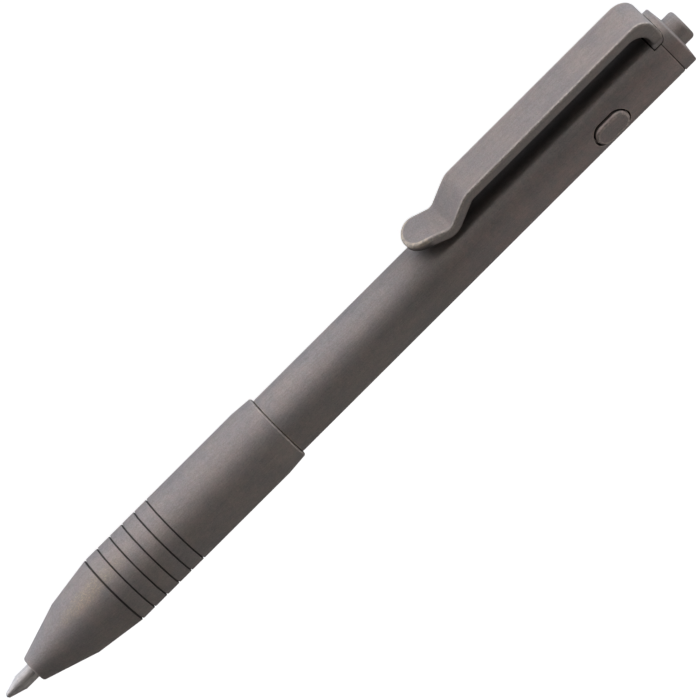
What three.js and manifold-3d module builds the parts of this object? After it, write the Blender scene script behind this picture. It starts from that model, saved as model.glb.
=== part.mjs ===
// Titanium click pen with a side release button, in millimetres, drawn with its refill out.
// Each piece is drawn along +X, from the ball to the end button, with the pocket clip towards +Z and the
// side button towards -Y. The pen as a whole is then laid on its side, as it lies on a table: the button
// faces up along +Z, and the clip along +Y. The origin lies under the middle of it, on the table.
import * as THREE from "three";
import { mergeVertices } from "three/addons/utils/BufferGeometryUtils.js";
import Module from "manifold-3d";

const wasm = await Module();
wasm.setup();

// Driving dimensions, read from the photograph
const tipReach = 5.45; // refill tip, out of the nose
const gripLength = 48.8;
const gripRadius = 5.84;
const barrelRadius = 5;
const capLength = 2.47;
const knobReach = 1.98; // end button, out of the cap, with the refill out
const refillLength = 98.1; // the common metal kind, which the pen is built round
const clickTravel = 6.5; // from refill out to refill in

// Clearances between pieces, and what all pieces share
const runningFit = 0.1; // radial, between pieces that slide or turn
const seatedFit = 0.05; // between pieces that don't move on each other
const clearFit = 0.3; // between pieces that pass each other
const edgeBreak = 0.1; // machined edges
const overrun = 1; // how far a cutter runs past what it cuts
const outerSides = 40;
const innerSides = 28;
const smallSides = 12;

// Refill, with its ball at the start of the pen
const refillRadius = 2.95;
const refillWall = 0.4;
const stemRadius = 1.23;
const stemLength = 13.5; // from the ball to the shoulder that the spring pushes
const shoulderRadius = 2.1;
const shoulderLength = 0.9;
const refillConeLength = 2.6;
const shoulderX = stemLength;
const refillTubeX = shoulderX + shoulderLength + refillConeLength;
const ballRadius = 0.35;
const ballShowing = 0.2; // of the ball, ahead of the tip's rim
const ballGap = 0.03;
const tipRimRadius = 0.42;
const tipConeLength = 2.75; // from the ball to the stem's full width
const tipLength = 9;
const tipSpigotRadius = 0.8;
const inkBoreRadius = 0.35;
const spigotLength = 3; // what joins the refill's pieces
const plugLength = 6.5;
const plugNotchDepth = 1.2;
const plugNotchWidth = 1.1;

// Grip, with its nose
const noseX = tipReach;
const gripRearX = noseX + gripLength;
const noseHoleLength = 2.9;
const noseEdge = 0.2;
const noseRadius = 2.16;
const frontConeLength = 8.2;
const frontConeRadius = 4.74;
const rearConeLength = 7.8;
const grooveCount = 6;
const groovePitch = 2.43;
const grooveWidth = 0.26;
const grooveDepth = 0.22;
const grooveFloorShare = 0.5; // width of a groove's floor, of the groove's width
const grooveInset = 0.24; // from the cones to the first groove
const rearTaperLength = 3.4;
const rearTaperRadius = 5.58;
const rearEdge = 0.15;
const springChamberRadius = 2.45;
const chamberReach = 0.55; // narrow chamber, past the front of the refill's shoulder
const chamberFlare = 0.9;
const refillBoreRadius = refillRadius + clearFit;
const threadLength = 11.8; // barrel spigot that screws into the grip
const threadRadius = 4.45;
const threadChamfer = 0.35;

// O-ring at the root of the grip's thread
const ringWire = 0.4; // radius of the ring's own section
const ringSetback = 0.9; // from the barrel's shoulder to the middle of the ring
const ringRadius = threadRadius + runningFit - seatedFit - ringWire;
const ringSteps = 10;

// Return spring in the nose
const springWire = 0.2; // radius of the wire
const springRadius = shoulderRadius - springWire + seatedFit;
const springTurns = 4.5;
const springStepsPerTurn = 8;
const springSides = 5;

// Pusher cup behind the refill
const cupRadius = 3.6;
const cupGrip = 3.2; // how far the cup reaches over the refill's end
const cupFloor = 2.5;
const cupRearX = refillLength + seatedFit + cupFloor;
const rodRadius = 1.3;
const rodSocket = 1.8; // how deep the rod sits in the cup

// Sleeve that carries the latch, just behind the reach of the pusher cup
const sleeveGap = 0.5; // left before the cup with the refill in
const sleeveX = cupRearX + clickTravel + sleeveGap;
const latchDeckInset = 1.1; // from the sleeve's front to the flat that the latch lies on
const latchDeckX = sleeveX + latchDeckInset;
const latchX = latchDeckX + 2 * runningFit;

// Yoke of the side button: two legs round the rod, which lift the latch
const latchRoot = 2.5; // riveted end of the latch, ahead of the yoke
const yokeX = latchX + latchRoot;
const yokeLength = 1.6;
const yokeHalfWidth = 2.1;
const yokeBridgeY = 2.4; // inner face of the yoke's bridge
const yokeBridge = 0.95;
const yokeLegInner = rodRadius + runningFit + seatedFit;

// Catch collar on the rod, and the sleeve's bores round the two
const collarRadius = 2.05;
const collarLength = 2;
const collarCone = 0.6;
const collarGap = 1.8; // from the yoke to the collar
const collarX = yokeX + yokeLength + collarGap;
const collarRearX = collarX + collarLength;
const sleeveStepX = collarX - 2 * clearFit;
const sleeveRodBore = rodRadius + runningFit;
const sleeveCollarBore = collarRadius + 2 * runningFit;

// Latch, a leaf of spring steel with a tooth behind the collar, held by two rivets
const latchDeckY = sleeveCollarBore; // flat that the latch lies on
const latchWall = 0.3;
const latchHalfWidth = 2.3;
const toothX = collarRearX + seatedFit;
const toothLand = 0.5;
const toothFlank = 0.95;
const toothY = rodRadius + runningFit + seatedFit;
const toothInset = 0.6; // tooth, narrower than the leaf on each side
const latchEndX = toothX + toothLand + toothFlank;
const rivetRadius = 0.35;
const rivetHeadRadius = 0.65;
const rivetHead = 0.3;
const rivetDepth = 1.1;
const rivetInset = 1;
const rivetX = latchX + rivetInset;
const rivetZ = 1.45;

// Side button, in its slot behind the yoke
const buttonLength = 5.95;
const buttonWidth = 3.55;
const buttonGap = 0.145; // all round, to the slot's edge
const buttonProud = 0.27; // flat top, above the barrel's crest
const buttonEdge = 0.3;
const buttonDepth = 1.9;
const buttonArm = 1.525; // from the yoke to the button
const buttonX = yokeX + yokeLength + buttonArm + buttonLength / 2;
const buttonArcPoints = 9;
const plateEar = 1.05; // plate under the wall, past the button's rear end
const plateRearX = buttonX + buttonLength / 2 + plateEar;
const plateHalfWidth = 1.7;
const plateInnerY = 3.2;

// End button, end cap and the barrel's rear end
const knobRadius = 2.435;
const knobEdge = 0.6;
const knobFlangeRadius = 2.85;
const knobFlangeLength = 0.6;
const knobSolidLength = 6; // behind the rod's socket
const edgePoints = 4;
const sleeveTail = 0.175; // from the button's plate to the sleeve's rear end
const sleeveRearX = plateRearX + sleeveTail;
const knobFlangeX = sleeveRearX + 2 * clearFit;
const stopX = knobFlangeX + knobFlangeLength + clickTravel; // where the flange stops with the refill in
const capLipLength = 3.57; // bore that guides the knob
const capRearX = stopX + capLipLength;
const capX = capRearX - capLength;
const knobRearX = capRearX + knobReach;
const capDome = 0.29;
const capEdge = 0.3;
const capDomeRadius = knobRadius + runningFit + edgeBreak;
const capBoreRadius = knobFlangeRadius + runningFit;
const spigotRadius = 4.05;

// Barrel bores
const rearBoreRadius = spigotRadius + seatedFit;
const sleeveRadius = rearBoreRadius - runningFit;
const plateRadius = rearBoreRadius - runningFit;
const cupBoreRadius = cupRadius + runningFit;
const threadBoreRadius = refillRadius + seatedFit + runningFit;
const threadBoreLength = threadLength + 4 * clearFit;

// Pocket clip, whose leg stands across the joint of barrel and cap
const clipLength = 46.6;
const clipWidth = 5.95;
const clipWall = 1.65;
const clipTop = 9.2; // outer face, above the pen's axis
const clipEdge = 0.22;
const legWall = 1.92;
const legRearReach = 1.13; // from the joint
const legRearX = capX + legRearReach;
const legFrontX = legRearX - legWall;
const legOuterRadius = 2.8;
const legInnerRadius = 2.5;
const legPoints = 7;
const heelReach = 5.9; // from the lip's end to the heel
const heelRun = 5.34; // from the heel to the flat arm
const clipLipX = legRearX - clipLength;
const clipHeelX = clipLipX + heelReach;
const clipFlatX = clipHeelX + heelRun;
const heelDrop = clipTop - clipWall - barrelRadius - seatedFit;
const lipDrop = 1;
const bendRadius = 2;
const lipBendRadius = 3.7;
const bendPoints = 5;
const footLedge = 0.37; // foot, flush with the barrel ahead of the leg
const footFrontX = legFrontX - footLedge;
const footFloor = 3.62; // flat of the notch, above the pen's axis
const footCorner = 1; // radius of the foot's lower rear corner
const footBoreRadius = spigotRadius + seatedFit;
const toeHalfWidth = 1.6;
const toeLength = 1.3;
const toeFloor = 3.4;
const toeRadius = rearBoreRadius - runningFit;

const steel = { color: 0x9a9da0, roughness: 0.35, metalness: 1 };
const colours = {
  titanium: { color: 0x857c78, roughness: 0.55, metalness: 0.85 },
  nickel: { ...steel, color: 0xb9bcc0 },
  steel,
  brass: { color: 0xb89b5c, roughness: 0.4, metalness: 1 },
  rubber: { color: 0x1b1b1c, roughness: 0.8, metalness: 0 },
  plastic: { color: 0x2a2c30, roughness: 0.5, metalness: 0 },
};

const weldReach = 1e-5; // points nearer to each other than this are one

// Solid that a closed geometry bounds
function solid(geometry) {
  const bare = geometry.index ? geometry.toNonIndexed() : geometry.clone();
  bare.deleteAttribute("normal");
  bare.deleteAttribute("uv");
  const merged = mergeVertices(bare, weldReach);
  const mesh = new wasm.Mesh({
    numProp: 3,
    vertProperties: new Float32Array(merged.attributes.position.array),
    triVerts: new Uint32Array(merged.index.array),
  });
  return new wasm.Manifold(mesh);
}

// Mesh of a finished solid, with the name and colour of its piece
function piece(name, made, colour) {
  const { vertProperties, triVerts } = made.getMesh();
  const geometry = new THREE.BufferGeometry();
  geometry.setAttribute("position", new THREE.BufferAttribute(vertProperties, 3));
  geometry.setIndex(new THREE.BufferAttribute(triVerts, 1));
  geometry.computeVertexNormals();
  const material = new THREE.MeshStandardMaterial({ ...colours[colour], flatShading: true });
  const mesh = new THREE.Mesh(geometry, material);
  mesh.name = name;
  return mesh;
}

// Body of revolution about the pen's axis. The outline's points are [x, radius], along the outside
// towards +X, then back along the bore.
function turned(outline, sides, closed = true) {
  const points = outline.map(([x, radius]) => new THREE.Vector2(radius, x));
  if (closed) points.push(points[0].clone());
  const lathe = new THREE.LatheGeometry(points, sides);
  return solid(lathe.rotateZ(-Math.PI / 2));
}

// Box between two corners
function block(low, high) {
  const size = high.map((value, i) => value - low[i]);
  const box = new THREE.BoxGeometry(...size);
  return solid(box.translate(...low.map((value, i) => value + size[i] / 2)));
}

// Round bar along the pen's axis, for cutting
function bar(fromX, toX, radius, sides = outerSides) {
  return turned([[fromX, 0], [fromX, radius], [toX, radius], [toX, 0]], sides, false);
}

// Points of an arc about a centre, from one angle to another
function arc(centreX, centreY, radiusX, radiusY, from, to, count) {
  return Array.from({ length: count }, (_, i) => {
    const angle = from + ((to - from) * i) / (count - 1);
    return [centreX + radiusX * Math.cos(angle), centreY + radiusY * Math.sin(angle)];
  });
}

// Prism of an outline in X and Z, with its middle on the XZ plane and its edges eased
function slab(outline, width, ease) {
  const shape = new THREE.Shape(outline.map(([x, z]) => new THREE.Vector2(x, z)));
  const geometry = new THREE.ExtrudeGeometry(shape, {
    depth: width - 2 * ease,
    bevelEnabled: ease > 0,
    bevelThickness: ease,
    bevelSize: ease,
    bevelOffset: -ease,
    bevelSegments: 2,
    steps: 1,
  });
  geometry.translate(0, 0, -width / 2 + ease);
  return solid(geometry.rotateX(Math.PI / 2));
}

// Prism of a slot with round ends, in X and Z, between two places along Y
function obround(centreX, length, width, fromY, toY, ease) {
  const radius = width / 2;
  const reach = length / 2 - radius;
  const quarter = Math.PI / 2;
  const outline = [
    ...arc(centreX + reach, 0, radius, radius, -quarter, quarter, buttonArcPoints),
    ...arc(centreX - reach, 0, radius, radius, quarter, 3 * quarter, buttonArcPoints),
  ];
  return slab(outline, toY - fromY, ease).translate([0, (fromY + toY) / 2, 0]);
}

function gripSection() {
  const coneEndX = noseX + frontConeLength + rearConeLength;
  const chamberX = noseX + noseHoleLength;
  const flareX = shoulderX + chamberReach;
  const threadX = gripRearX - threadLength - clearFit;
  const noseHole = stemRadius + runningFit;
  const threadBore = threadRadius + runningFit;
  const grooves = Array.from({ length: grooveCount }, (_, i) => {
    const x = coneEndX + grooveInset + i * groovePitch;
    const mouth = grooveWidth / 2;
    const floor = mouth * grooveFloorShare;
    const bottom = gripRadius - grooveDepth;
    return [[x - mouth, gripRadius], [x - floor, bottom], [x + floor, bottom], [x + mouth, gripRadius]];
  });
  return turned(
    [
      [noseX + edgeBreak, noseHole],
      [noseX, noseHole + edgeBreak],
      [noseX, noseRadius - noseEdge],
      [noseX + noseEdge, noseRadius],
      [noseX + frontConeLength, frontConeRadius],
      [coneEndX, gripRadius],
      ...grooves.flat(),
      [gripRearX - rearTaperLength, gripRadius],
      [gripRearX - rearEdge, rearTaperRadius],
      [gripRearX, rearTaperRadius - rearEdge],
      [gripRearX, threadBore],
      [threadX, threadBore],
      [threadX, refillBoreRadius],
      [flareX + chamberFlare, refillBoreRadius],
      [flareX, springChamberRadius],
      [chamberX, springChamberRadius],
      [chamberX, noseHole],
    ],
    outerSides,
  );
}

function gripORing() {
  const centreX = gripRearX - ringSetback;
  const circle = arc(centreX, ringRadius, ringWire, ringWire, 0, 2 * Math.PI, ringSteps + 1);
  return turned(circle.slice(0, ringSteps).reverse(), innerSides);
}

// Lower end of the clip in side view, up to a height. It is grown by a gap where it is a cutter.
function footOutline(frontX, top, gap) {
  const radius = footCorner + gap;
  return [
    [frontX - gap, top],
    [frontX - gap, footFloor - gap],
    ...arc(legRearX - footCorner, footFloor + footCorner, radius, radius, -Math.PI / 2, 0, legPoints),
    [legRearX + gap, top],
  ];
}

// Notch for the foot, milled right across barrel and cap
function clipNotch() {
  const reach = barrelRadius + overrun;
  return slab(footOutline(footFrontX, reach, seatedFit), 2 * reach, 0);
}

function barrel() {
  const threadX = gripRearX - threadLength;
  const grooveReach = ringWire + seatedFit;
  const grooveX = gripRearX - ringSetback;
  const grooveFloor = ringRadius - ringWire - seatedFit;
  const tube = turned(
    [
      [threadX, threadBoreRadius],
      [threadX, threadRadius - threadChamfer],
      [threadX + threadChamfer, threadRadius],
      [grooveX - grooveReach, threadRadius],
      [grooveX - grooveReach, grooveFloor],
      [grooveX + grooveReach, grooveFloor],
      [grooveX + grooveReach, threadRadius],
      [gripRearX, threadRadius],
      [gripRearX, barrelRadius],
      [capX - edgeBreak, barrelRadius],
      [capX, barrelRadius - edgeBreak],
      [capX, rearBoreRadius],
      [sleeveX, rearBoreRadius],
      [sleeveX, cupBoreRadius],
      [threadX + threadBoreLength, cupBoreRadius],
      [threadX + threadBoreLength, threadBoreRadius],
    ],
    outerSides,
  );
  const slotLength = buttonLength + 2 * buttonGap;
  const slotWidth = buttonWidth + 2 * buttonGap;
  const slot = obround(buttonX, slotLength, slotWidth, -barrelRadius - overrun, -plateInnerY, 0);
  return tube.subtract(slot).subtract(clipNotch());
}

function endCap() {
  const domeX = capRearX - capDome;
  const cap = turned(
    [
      [sleeveRearX, capBoreRadius],
      [sleeveRearX, spigotRadius - edgeBreak],
      [sleeveRearX + edgeBreak, spigotRadius],
      [capX, spigotRadius],
      [capX, barrelRadius - edgeBreak],
      [capX + edgeBreak, barrelRadius],
      ...arc(domeX - capEdge, barrelRadius - capEdge, capEdge, capEdge, Math.PI / 2, 0, edgePoints),
      [capRearX, capDomeRadius],
      [capRearX - edgeBreak, knobRadius + runningFit],
      [stopX, knobRadius + runningFit],
      [stopX, capBoreRadius],
    ],
    outerSides,
  );
  const keyHalfWidth = toeHalfWidth + runningFit;
  const keyway = block(
    [sleeveRearX - overrun, -keyHalfWidth, toeFloor - runningFit],
    [capX, keyHalfWidth, barrelRadius],
  );
  return cap.subtract(clipNotch()).subtract(keyway);
}

// Two faces of the clip's strip in side view, from the lip over the heel to the flat arm. The middle of
// the strip is a chain of arcs joined by straights, whose slopes follow from the drops, runs and radii.
function clipStrip() {
  const half = clipWall / 2;
  const middle = clipTop - half;
  const slope = (drop, run, radii) => {
    const reach = Math.hypot(run, radii - drop);
    return Math.atan2(run, radii - drop) - Math.acos(radii / reach);
  };
  const lipRise = heelDrop - lipDrop;
  const downRadii = 2 * bendRadius;
  const upRadii = bendRadius + lipBendRadius;
  const lipFlatX = clipLipX + clipWall;
  const down = slope(heelDrop, clipFlatX - clipHeelX, downRadii);
  const up = slope(lipRise, clipHeelX - lipFlatX, upRadii);
  const quarter = Math.PI / 2;
  const side = (offset) => [
    [clipLipX, middle - lipDrop + offset],
    ...arc(
      lipFlatX, middle - lipDrop - lipBendRadius,
      lipBendRadius + offset, lipBendRadius + offset, quarter, quarter - up, bendPoints,
    ),
    ...arc(
      clipHeelX, middle - heelDrop + bendRadius,
      bendRadius - offset, bendRadius - offset, -quarter - up, -quarter + down, 2 * bendPoints,
    ),
    ...arc(
      clipFlatX, middle - bendRadius,
      bendRadius + offset, bendRadius + offset, quarter + down, quarter, bendPoints,
    ),
  ];
  return { outer: side(half), inner: side(-half) };
}

function pocketClip() {
  const { outer, inner } = clipStrip();
  const quarter = Math.PI / 2;
  const shoulderX = legRearX - legOuterRadius;
  const armFloor = clipTop - clipWall;
  const legTop = armFloor - legInnerRadius;
  const leg = footOutline(legFrontX, legTop, 0);
  const outline = [
    ...outer,
    ...arc(shoulderX, clipTop - legOuterRadius, legOuterRadius, legOuterRadius, quarter, 0, legPoints),
    ...leg.slice(1, -1).reverse(),
    ...arc(
      legFrontX - legInnerRadius, legTop,
      legInnerRadius, legInnerRadius, 0, quarter, legPoints,
    ),
    ...inner.reverse(),
  ].reverse();
  const arm = slab(outline, clipWidth, clipEdge);
  const lipRadius = clipWidth / 2;
  const lipShape = new THREE.Shape();
  lipShape.moveTo(legRearX + overrun, -lipRadius);
  lipShape.lineTo(legRearX + overrun, lipRadius);
  lipShape.lineTo(clipLipX + lipRadius, lipRadius);
  lipShape.absarc(clipLipX + lipRadius, 0, lipRadius, quarter, 3 * quarter, false);
  const plan = new THREE.ExtrudeGeometry(lipShape, {
    depth: clipTop + overrun,
    bevelEnabled: false,
    curveSegments: 2 * buttonArcPoints,
  });
  const foot = slab(footOutline(footFrontX, barrelRadius, 0), 2 * barrelRadius, 0);
  const flush = bar(footFrontX - overrun, legRearX + overrun, barrelRadius);
  const seat = bar(footFrontX - overrun, legRearX + overrun, footBoreRadius);
  const toeBlock = block(
    [footFrontX - toeLength, -toeHalfWidth, toeFloor],
    [capX - runningFit, toeHalfWidth, footBoreRadius + seatedFit],
  );
  const toeLimit = bar(footFrontX - toeLength - overrun, footFrontX, toeRadius);
  const toeRoot = bar(footFrontX, capX, footBoreRadius + seatedFit);
  const toe = toeBlock.intersect(toeLimit.add(toeRoot));
  const strip = arm.intersect(solid(plan)).add(foot.intersect(flush));
  return strip.subtract(seat).add(toe);
}

function sideButton() {
  const topY = -barrelRadius - buttonProud;
  const head = obround(buttonX, buttonLength, buttonWidth, topY, topY + buttonDepth, buttonEdge);
  const plate = block(
    [yokeX, -plateRadius, -plateHalfWidth],
    [plateRearX, -plateInnerY, plateHalfWidth],
  );
  const underWall = bar(yokeX - overrun, plateRearX + overrun, plateRadius);
  const bridge = block(
    [yokeX, -yokeBridgeY - yokeBridge, -yokeHalfWidth],
    [yokeX + yokeLength, -yokeBridgeY, yokeHalfWidth],
  );
  const inward = head.add(plate.intersect(underWall)).add(bridge);
  const legs = [1, -1].map((side) => {
    const edges = [side * yokeLegInner, side * yokeHalfWidth].sort((a, b) => a - b);
    return block(
      [yokeX, -yokeBridgeY - seatedFit, edges[0]],
      [yokeX + yokeLength, latchDeckY - seatedFit, edges[1]],
    );
  });
  return legs.reduce((made, leg) => made.add(leg), inward);
}

function mechanismSleeve() {
  const body = turned(
    [
      [sleeveX, sleeveRodBore],
      [sleeveX, sleeveRadius],
      [sleeveRearX, sleeveRadius],
      [sleeveRearX, sleeveCollarBore],
      [sleeveStepX, sleeveCollarBore],
      [sleeveStepX, sleeveRodBore],
    ],
    outerSides,
  );
  const far = sleeveRadius + overrun;
  const toothRoom = toothX - clearFit;
  const cuts = [
    block([latchDeckX, latchDeckY, -far], [latchEndX + clearFit, far, far]),
    block([toothRoom, 0, -latchHalfWidth], [latchEndX + clearFit, far, latchHalfWidth]),
    block([yokeX - clearFit, -far, -far], [sleeveRearX + overrun, runningFit - yokeBridgeY, far]),
    block(
      [yokeX - 2 * runningFit, -far, -yokeHalfWidth - runningFit],
      [yokeX + yokeLength + 2 * runningFit, far, yokeHalfWidth + runningFit],
    ),
    ...rivetBars(rivetRadius + seatedFit, rivetDepth + seatedFit),
  ];
  return cuts.reduce((made, cut) => made.subtract(cut), body);
}

// Upright bars at the two rivets, from the bottom of their holes to above the latch
function rivetBars(radius, depth) {
  const top = latchDeckY + latchWall + overrun;
  const bottom = latchDeckY - depth;
  return [1, -1].map((side) => {
    const cylinder = new THREE.CylinderGeometry(radius, radius, top - bottom, smallSides);
    return solid(cylinder.translate(rivetX, (top + bottom) / 2, side * rivetZ));
  });
}

function latchSpring() {
  const outer = latchDeckY + latchWall;
  const outline = [
    [latchX, latchDeckY],
    [toothX, latchDeckY],
    [toothX, toothY],
    [toothX + toothLand, toothY],
    [latchEndX, latchDeckY],
    [latchEndX, outer],
    [latchX, outer],
  ];
  const shape = new THREE.Shape(outline.map(([x, y]) => new THREE.Vector2(x, y)));
  const strip = new THREE.ExtrudeGeometry(shape, { depth: 2 * latchHalfWidth, bevelEnabled: false });
  const leaf = solid(strip.translate(0, 0, -latchHalfWidth));
  const holes = rivetBars(rivetRadius + seatedFit, rivetDepth);
  const toothHalfWidth = latchHalfWidth - toothInset;
  const sides = [1, -1].map((side) => {
    const edges = [side * toothHalfWidth, side * (latchHalfWidth + overrun)].sort((a, b) => a - b);
    return block([toothX - clearFit, 0, edges[0]], [latchEndX + overrun, outer + overrun, edges[1]]);
  });
  return [...holes, ...sides].reduce((made, cut) => made.subtract(cut), leaf);
}

function rivet(side) {
  const outer = latchDeckY + latchWall;
  const bottom = latchDeckY - rivetDepth;
  const points = [
    [0, bottom],
    [rivetRadius, bottom],
    [rivetRadius, outer],
    [rivetHeadRadius, outer],
    [rivetHeadRadius - edgeBreak, outer + rivetHead],
    [0, outer + rivetHead],
  ].map(([radius, y]) => new THREE.Vector2(radius, y));
  const lathe = new THREE.LatheGeometry(points, smallSides);
  return solid(lathe.translate(rivetX, 0, side * rivetZ));
}

function endButton() {
  const socketEndX = knobRearX - knobSolidLength;
  const rodHole = rodRadius + seatedFit;
  return turned(
    [
      [knobFlangeX, rodHole],
      [knobFlangeX, knobFlangeRadius],
      [knobFlangeX + knobFlangeLength, knobFlangeRadius],
      [knobFlangeX + knobFlangeLength, knobRadius],
      ...arc(knobRearX - knobEdge, knobRadius - knobEdge, knobEdge, knobEdge, Math.PI / 2, 0, edgePoints),
      [knobRearX, 0],
      [socketEndX, 0],
      [socketEndX, rodHole],
    ],
    innerSides,
  );
}

function plungerRod() {
  const frontX = cupRearX - rodSocket;
  const rearX = knobRearX - knobSolidLength - seatedFit;
  return turned(
    [
      [frontX, 0],
      [frontX, rodRadius - edgeBreak],
      [frontX + edgeBreak, rodRadius],
      [rearX - edgeBreak, rodRadius],
      [rearX, rodRadius - edgeBreak],
      [rearX, 0],
    ],
    innerSides,
    false,
  );
}

function catchCollar() {
  const bore = rodRadius + seatedFit;
  return turned(
    [
      [collarX, bore],
      [collarX, collarRadius - collarCone],
      [collarX + collarCone, collarRadius],
      [collarRearX, collarRadius],
      [collarRearX, bore],
    ],
    innerSides,
  );
}

function pusherCup() {
  const floorX = refillLength + seatedFit;
  const mouthX = refillLength - cupGrip;
  const bore = refillRadius + seatedFit;
  const socketX = cupRearX - rodSocket - seatedFit;
  const cup = turned(
    [
      [mouthX, bore + edgeBreak],
      [mouthX, cupRadius - edgeBreak],
      [mouthX + edgeBreak, cupRadius],
      [cupRearX - clearFit, cupRadius],
      [cupRearX, cupRadius - clearFit],
      [cupRearX, rodRadius + seatedFit],
      [socketX, rodRadius + seatedFit],
      [socketX, 0],
      [floorX, 0],
      [floorX, bore],
      [mouthX + edgeBreak, bore],
    ],
    innerSides,
  );
  return cup;
}

// Coil spring between the nose and the refill's shoulder: one tube along a helix
function returnSpring() {
  const frontX = noseX + noseHoleLength + springWire + seatedFit;
  const rearX = shoulderX - springWire - seatedFit;
  class Helix extends THREE.Curve {
    getPoint(share, target = new THREE.Vector3()) {
      const angle = 2 * Math.PI * springTurns * share;
      const x = frontX + (rearX - frontX) * share;
      return target.set(x, springRadius * Math.cos(angle), springRadius * Math.sin(angle));
    }
  }
  const steps = springTurns * springStepsPerTurn;
  const gap = (rearX - frontX) / springTurns - 2 * springWire;
  console.log("return spring, least gap between turns", gap.toFixed(2), "mm");
  const ringPoints = [];
  const helix = new Helix();
  const triangles = [];
  for (let i = 0; i <= steps; i += 1) {
    const centre = helix.getPoint(i / steps);
    const outward = new THREE.Vector3(0, centre.y, centre.z).normalize();
    for (let k = 0; k < springSides; k += 1) {
      const turn = (2 * Math.PI * k) / springSides;
      const point = centre.clone().addScaledVector(outward, springWire * Math.cos(turn));
      point.x += springWire * Math.sin(turn);
      ringPoints.push(point);
    }
  }
  for (let i = 0; i < steps; i += 1) {
    for (let k = 0; k < springSides; k += 1) {
      const a = i * springSides + k;
      const b = i * springSides + ((k + 1) % springSides);
      triangles.push(a, a + springSides, b, b, a + springSides, b + springSides);
    }
  }
  const last = steps * springSides;
  for (let k = 1; k < springSides - 1; k += 1) {
    triangles.push(0, k, k + 1, last, last + k + 1, last + k);
  }
  const geometry = new THREE.BufferGeometry().setFromPoints(ringPoints);
  geometry.setIndex(triangles);
  return solid(geometry);
}

// Refill's tip, which holds the writing ball in its socket
function refillTip() {
  const rearX = tipLength;
  const seat = ballRadius + ballGap;
  return turned(
    [
      [ballShowing, seat],
      [ballShowing, tipRimRadius],
      [tipConeLength, stemRadius],
      [rearX, stemRadius],
      [rearX, tipSpigotRadius],
      [rearX + spigotLength, tipSpigotRadius],
      [rearX + spigotLength, inkBoreRadius],
      [ballShowing + 2 * ballRadius + ballGap, inkBoreRadius],
      [ballShowing + ballRadius + ballGap, seat],
    ],
    innerSides,
  );
}

function writingBall() {
  const ball = new THREE.SphereGeometry(ballRadius, smallSides, smallSides / 2);
  return solid(ball.translate(ballRadius, 0, 0));
}

function refillNose() {
  const frontX = tipLength;
  const bore = tipSpigotRadius + seatedFit;
  const spigot = refillRadius - refillWall - seatedFit;
  const spigotX = refillTubeX + spigotLength;
  return turned(
    [
      [frontX, bore],
      [frontX, stemRadius],
      [shoulderX, stemRadius],
      [shoulderX, shoulderRadius],
      [shoulderX + shoulderLength, shoulderRadius],
      [refillTubeX, refillRadius],
      [refillTubeX, spigot],
      [spigotX, spigot],
      [spigotX, bore],
    ],
    innerSides,
  );
}

function refillTube() {
  const rearX = refillLength - plugLength;
  const bore = refillRadius - refillWall;
  const wall = [
    [refillTubeX, bore],
    [refillTubeX, refillRadius],
    [rearX, refillRadius],
    [rearX, bore],
  ];
  return turned(wall, innerSides);
}

function refillEndPlug() {
  const frontX = refillLength - plugLength;
  const spigot = refillRadius - refillWall - seatedFit;
  const plug = turned(
    [
      [frontX - spigotLength, inkBoreRadius],
      [frontX - spigotLength, spigot],
      [frontX, spigot],
      [frontX, refillRadius],
      [refillLength, refillRadius],
      [refillLength, inkBoreRadius],
    ],
    innerSides,
  );
  const half = plugNotchWidth / 2;
  const far = refillRadius + overrun;
  const notches = [
    block([refillLength - plugNotchDepth, -far, -half], [refillLength + overrun, far, half]),
    block([refillLength - plugNotchDepth, -half, -far], [refillLength + overrun, half, far]),
  ];
  return notches.reduce((made, cut) => made.subtract(cut), plug);
}

const pen = new THREE.Group();
pen.add(
  piece("grip_section", gripSection(), "titanium"),
  piece("grip_o_ring", gripORing(), "rubber"),
  piece("barrel", barrel(), "titanium"),
  piece("end_cap", endCap(), "titanium"),
  piece("pocket_clip", pocketClip(), "titanium"),
  piece("side_button", sideButton(), "titanium"),
  piece("end_button", endButton(), "titanium"),
  piece("plunger_rod", plungerRod(), "steel"),
  piece("catch_collar", catchCollar(), "steel"),
  piece("pusher_cup", pusherCup(), "brass"),
  piece("mechanism_sleeve", mechanismSleeve(), "brass"),
  piece("latch_spring", latchSpring(), "steel"),
  piece("latch_rivet_upper", rivet(1), "steel"),
  piece("latch_rivet_lower", rivet(-1), "steel"),
  piece("return_spring", returnSpring(), "steel"),
  piece("refill_tip", refillTip(), "nickel"),
  piece("writing_ball", writingBall(), "steel"),
  piece("refill_nose", refillNose(), "nickel"),
  piece("refill_tube", refillTube(), "nickel"),
  piece("refill_end_plug", refillEndPlug(), "plastic"),
);
pen.rotation.x = -Math.PI / 2;
pen.position.set(-knobRearX / 2, (gripRadius - clipTop) / 2, gripRadius);

export default pen;
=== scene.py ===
import bpy
import math
import bmesh
import numpy as np
from mathutils import Matrix, Vector


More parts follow.
